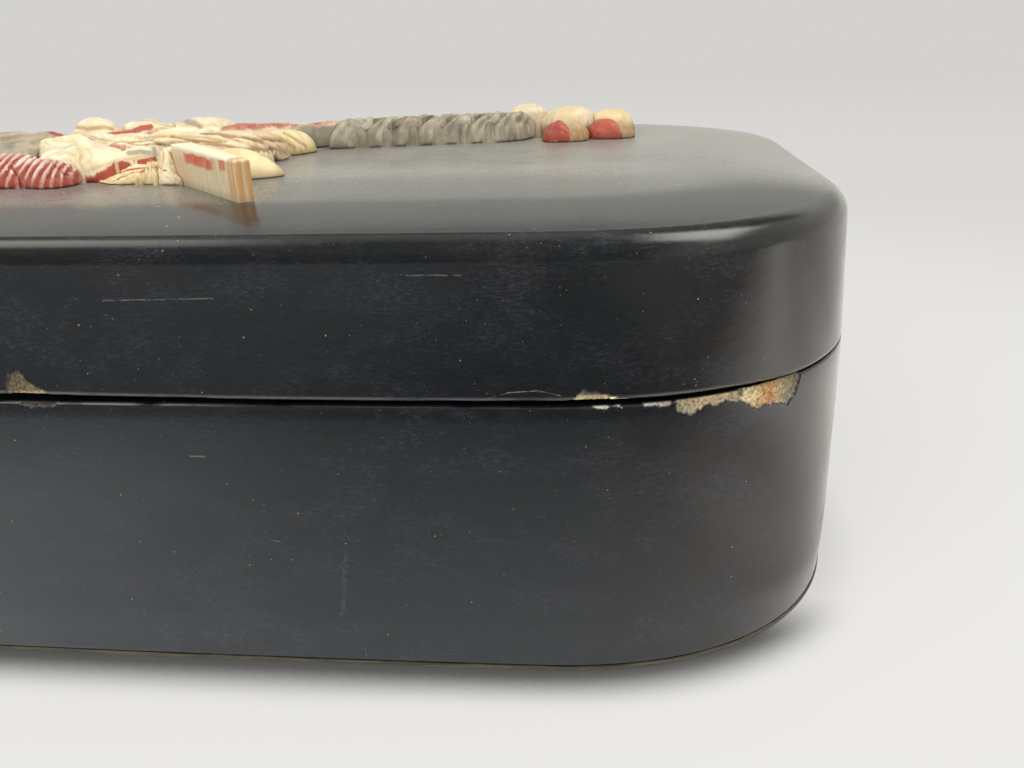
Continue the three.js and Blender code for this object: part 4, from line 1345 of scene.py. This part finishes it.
def slab_look():
    """The standing slab: faint upright grain, a brushed red band near its top, ochre at its end, and painted
    shade at its foot.
    """
    look = new_look("painted_slab")
    own = look.read("place", "Vector")
    along = look.axis(own, "X")
    height = look.axis(own, "Z")
    grain = look.noise(own * (1.3, 1.3, 0.2), 1.1, 5, 0.65)
    patches = look.noise(look.places(), 5, 4)
    colour = look.mix(*SLAB_TONES, look.step(grain, 0.35, 0.7))
    edge = 1.5 * (patches - 0.5) + 0.7 * (grain - 0.5)
    level = height + edge
    crest = look.step(height + 0.6 * edge, 8.2, 8.8)
    colour = look.mix(colour, SLAB_CREST, crest)
    band = look.band(level, 5.2, 6.2, 7.9, 8.3)
    band = band * look.fall(along + 4 * edge, 6, 11) * look.step(along + 2 * edge, -14, -11)
    dab = look.band(level, 6.0, 6.8, 8.2, 8.6) * look.band(along + 1.5 * edge, 12, 13.4, 16, 17.4)
    colour = look.mix(colour, SLAB_RED, (band + 0.85 * dab) * look.step(grain, 0.28, 0.5))
    blush = look.fall(along + 3 * edge, -15, -6) * look.fall(level, 6, 8)
    colour = look.mix(colour, SLAB_BLUSH, blush * 0.5)
    stripes = look.step(look.noise(own * (1, 1, 0.06), 1.1, 3), 0.42, 0.58)
    end = look.step(along + 0.6 * edge, 17.0, 18.6)
    colour = look.mix(colour, SLAB_OCHRE, end * (0.4 + 0.5 * stripes))
    # Darker towards its foot: painted shade where the slab meets the lid.
    foot = look.fall(level, 0.2, 2.2)
    colour = look.mix(colour, SLAB_FOOT_SHADE, foot * 0.5)
    return look.surface(colour, 0.3 + 0.25 * grain, look.bump(grain, 0.08))


# The stage: a pale floor that fades with distance, a backdrop in the world, and soft lamps.

BACKDROP = (0.65, 0.64, 0.625)
FLOOR_NEAR = (0.78, 0.771, 0.748)
FLOOR_SIZE = 30000
FLOOR_DROP = 0.05
FLOOR_LIT = (0.7, 0.69, 0.67)
POOL_TINTS = ((0.97, 0.985, 1), (1, 0.955, 0.89))  # the floor in reflections, at the left and the right
CONTACT_REACH = 17.5  # how far from the box the floor is shaded
BLACK = (0, 0, 0)


def pool_level(look, front, side):
    """How bright the floor shows in the lacquer, by its places before the box and beside it in mm."""
    shelf = look.step(front, -275, -257)
    level = 0.22 + 0.08 * look.step(front, -330, -280) + 0.06 * look.step(front * -1, 400, 600)
    level = level - 0.16 * look.step(front, -335, -300) * (1 - shelf) + 0.22 * shelf
    level = level + 0.26 * look.step(front, -240, -190) + 0.42 * look.step(front, -200, -120)
    by_base = look.step(front, -215, -130)
    left = (1.05 - 0.6 * by_base) * look.fall(side, -75, 62)
    right = (0.02 + 0.28 * look.step(side, 165, 200)) * look.step(side, 92, 112)
    right = right * (1 - 1.7 * look.band(front, -300, -250, -215, -180)) * look.fall(side, 240, 400)
    far_right = 0.8 * look.step(side, 250, 340) * look.fall(front, -130, 0)
    far_right = far_right - 0.25 * look.step(side, 230, 290) * look.step(front, 20, 120)
    beyond = look.step(front, -125, -60)
    by_corner = look.step(side, 160, 175) * (0.1 + 0.3 * beyond * look.fall(side, 190, 285))
    by_corner = by_corner * look.fall(side, 265, 320)
    by_corner = by_corner + 0.2 * (look.step(side, 205, 250) - look.step(side, 265, 320)) * (1 - beyond)
    return level * (1 + left + right) * (1 + far_right - by_corner)


def floor_look():
    """A pale floor: seen by the camera it fades into the backdrop and carries a painted contact shadow, and
    the lacquer reflects its own tones.
    """
    look = new_look("pale_floor")
    place = look.places()
    far = look.add("ShaderNodeVectorMath", {"operation": "LENGTH"}, {0: place}, out="Value")
    fade = look.step(far, 90, 620) * 0.6 + look.step(far, 400, 2600) * 0.4
    seen = look.mix(FLOOR_NEAR, BACKDROP, fade)
    sockets = {"Distance": CONTACT_REACH * MM}
    open_sky = look.add("ShaderNodeAmbientOcclusion", {"samples": 16}, sockets, out="AO")
    front = look.axis(place, "Y")
    side = look.axis(place, "X")
    # The box's contact shadow is painted into the floor's colour from its ambient occlusion.
    kept = 1 - 0.85 * look.step(front, -100, -78) * look.step(side, 125, 160)
    shade = 1 - 0.88 * kept * look.fall(open_sky, 0.52, 0.975 - 0.035 * look.step(side, 45, 90))
    shaded = look.mix(BLACK, seen, shade)
    lit = look.add("ShaderNodeBsdfDiffuse", {}, {"Color": shaded})
    plain = look.add("ShaderNodeEmission", {}, {"Color": shaded})
    camera = look.blend(0.65 + 0.35 * look.step(far, 250, 900), lit, plain)
    tint = look.mix(*POOL_TINTS, look.step(side, 60, 220))
    pool = look.add("ShaderNodeEmission", {}, {"Color": tint * pool_level(look, front, side)})
    others = look.add("ShaderNodeBsdfDiffuse", {}, {"Color": FLOOR_LIT})
    return look.finish(look.by_ray(camera, pool, others))


# The room that the lacquer reflects: its lamps' and walls' levels, and where they are by the parts of
# a direction: across to the right, deep to the back, and up.
ROOM_LEVEL = 0.2
SKYLIGHT = 6.8
SKYLIGHT_DEEP = (-0.36, -0.08, 0.27, 0.48)
SKYLIGHT_SLANT = (0.2, 0.44, 0.6, 0.76)
WINDOW = 2.6
WINDOW_DEEP = (-0.32, -0.05, 0.25, 0.46)
CEILING = 0.12
BACK_LIGHT = 0.5
BACK_LIGHT_DEEP = (-0.1, 0.35, 0.7, 0.85)
WARMTH = (1, 0.99, 0.9)


def studio_world():
    """A plain backdrop for the camera, and a room of soft lamps for reflections."""
    world = bpy.data.worlds.new("studio")
    bpy.context.scene.world = world
    look = Look(world)
    way = look.add("ShaderNodeTexCoord", out="Generated")
    up = look.axis(way, "Z")
    deep = look.axis(way, "Y")
    side = look.axis(way, "X")
    wall = 0.38 * look.fall(up, 0.07, 0.17) + 0.3 * look.step(up, 0.2, 0.44) + 0.38
    wall = wall * look.fall(up, 0.47, 0.55) * look.step(deep, -0.4, 0.2)
    right = 0.6 * look.step(side, 0.45, 0.65) * look.fall(up, 0.6, 0.9)
    highest = look.add("ShaderNodeMath", {"operation": "MAXIMUM"}, {0: wall, 1: right})
    above = look.step(up, 0.45, 0.7)
    slant = side + 0.3 * deep
    skylight = SKYLIGHT * above * look.band(deep, *SKYLIGHT_DEEP) * look.band(slant, *SKYLIGHT_SLANT)
    window = WINDOW * above * look.band(deep, *WINDOW_DEEP) * look.fall(side, -0.46, -0.3)
    ceiling = CEILING * above * look.fall(deep, 0.05, 0.3)
    behind = BACK_LIGHT * look.step(up, 0.6, 0.8) * look.band(deep, *BACK_LIGHT_DEEP)
    behind = behind * look.fall(side, 0.0, 0.25)
    level = ROOM_LEVEL + highest + skylight + window + ceiling + behind
    parts = {axis: share * level for axis, share in zip("XYZ", WARMTH)}
    warm = look.add("ShaderNodeCombineXYZ", {}, parts)
    reflected = look.add("ShaderNodeBackground", {}, {"Color": warm, "Strength": 1.0})
    seen = look.add("ShaderNodeBackground", {}, {"Color": BACKDROP, "Strength": 1.0})
    plain = look.add("ShaderNodeBackground", {}, {"Color": (1, 1, 1), "Strength": 0.6})
    look.finish(look.by_ray(seen, reflected, plain), "ShaderNodeOutputWorld")


# Each soft lamp's place, size and power. They light the piece and aren't seen in its reflections.
LAMPS = {"key": ((560, -170, 1090), (420, 320), 7.5), "fill": ((-500, -1000, 700), (900, 900), 9)}
LAMP_AIM = (0, 0, 60)


def soft_lamp(name, place, size, power):
    """An area lamp that points at the box."""
    data = bpy.data.lights.new(name, "AREA")
    data.shape = "RECTANGLE"
    data.size, data.size_y = size[0] * MM, size[1] * MM
    data.energy = power
    lamp = bpy.data.objects.new(name, data)
    lamp.location = Vector(place) * MM
    lamp.rotation_euler = (Vector(LAMP_AIM) - Vector(place)).to_track_quat("-Z", "Y").to_euler()
    lamp.visible_camera = False
    lamp.visible_glossy = False
    bpy.context.scene.collection.objects.link(lamp)


# The camera stands where the photograph was taken from: its place, and its turns in radians.
CAMERA_PLACE = (115.924, -284.865, 131.008)
CAMERA_DIP = 0.3550745
CAMERA_TURN = -0.1156748
CAMERA_ROLL = -0.0298631
LENS = 33.161
SENSOR = 36
CLIP = (10, 100000)


def photo_camera():
    """The photograph's camera, which looks ahead and down, with a slight roll."""
    data = bpy.data.cameras.new("camera")
    data.lens = LENS
    data.sensor_width = SENSOR
    data.clip_start, data.clip_end = (way * MM for way in CLIP)
    camera = bpy.data.objects.new("camera", data)
    dip, turn, roll = CAMERA_DIP, CAMERA_TURN, CAMERA_ROLL
    ahead = Vector((math.sin(turn) * math.cos(dip), math.cos(turn) * math.cos(dip), -math.sin(dip)))
    level = Vector((math.cos(turn), -math.sin(turn), 0))
    upright = level.cross(ahead)
    right = level * math.cos(roll) + upright * math.sin(roll)
    up = upright * math.cos(roll) - level * math.sin(roll)
    turned = Matrix((right, up, -ahead)).transposed().to_4x4()
    camera.matrix_world = Matrix.Translation(Vector(CAMERA_PLACE) * MM) @ turned
    bpy.context.scene.collection.objects.link(camera)
    bpy.context.scene.camera = camera


def pale_floor():
    """The floor that the box stands on, as part of the stage."""
    half = FLOOR_SIZE / 2
    corners = [(x * half, y * half, -FLOOR_DROP) for x, y in ((-1, -1), (1, -1), (1, 1), (-1, 1))]
    floor = new_mesh("floor", corners, [[0, 1, 2, 3]])
    floor.data.materials.append(floor_look())


def dress(shape, look, body, slot, *nodes):
    """Finishes a piece: its material, the body it rides on and the CAD nodes it stands for. The slot is not
    used.
    """
    shape.data.materials.append(look)
    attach(shape, body)
    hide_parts(*nodes)


photo_camera()
pale_floor()
studio_world()
for name, (place, size, power) in LAMPS.items():
    soft_lamp(name, place, size, power)

outside = lacquer_look("black_lacquer")
inside = lacquer_look("inside_lacquer", inside=True)
dress(body_shell(), outside, "box_body", "lacquer", "body_wall")
dress(base_board(), board_look(), "box_body", "bare_board", "body_floor")
dress(locating_lip(), inside, "box_body", "lacquer_inside", "inner_lip")
dress(lid_shell(), outside, "lid", "lacquer", "lid_wall", "lid_top")

looks = {name: relief_look(name) for name in GROUNDS}
for node, (style, ground, turn, *scallops) in CARVED.items():
    look = slab_look() if style is slab_style else looks[ground]
    dress(carved_shape(node, style, turn, *scallops), look, "lid", GROUNDS[ground][2], node)

view = bpy.context.scene.view_settings
view.view_transform = "Standard"
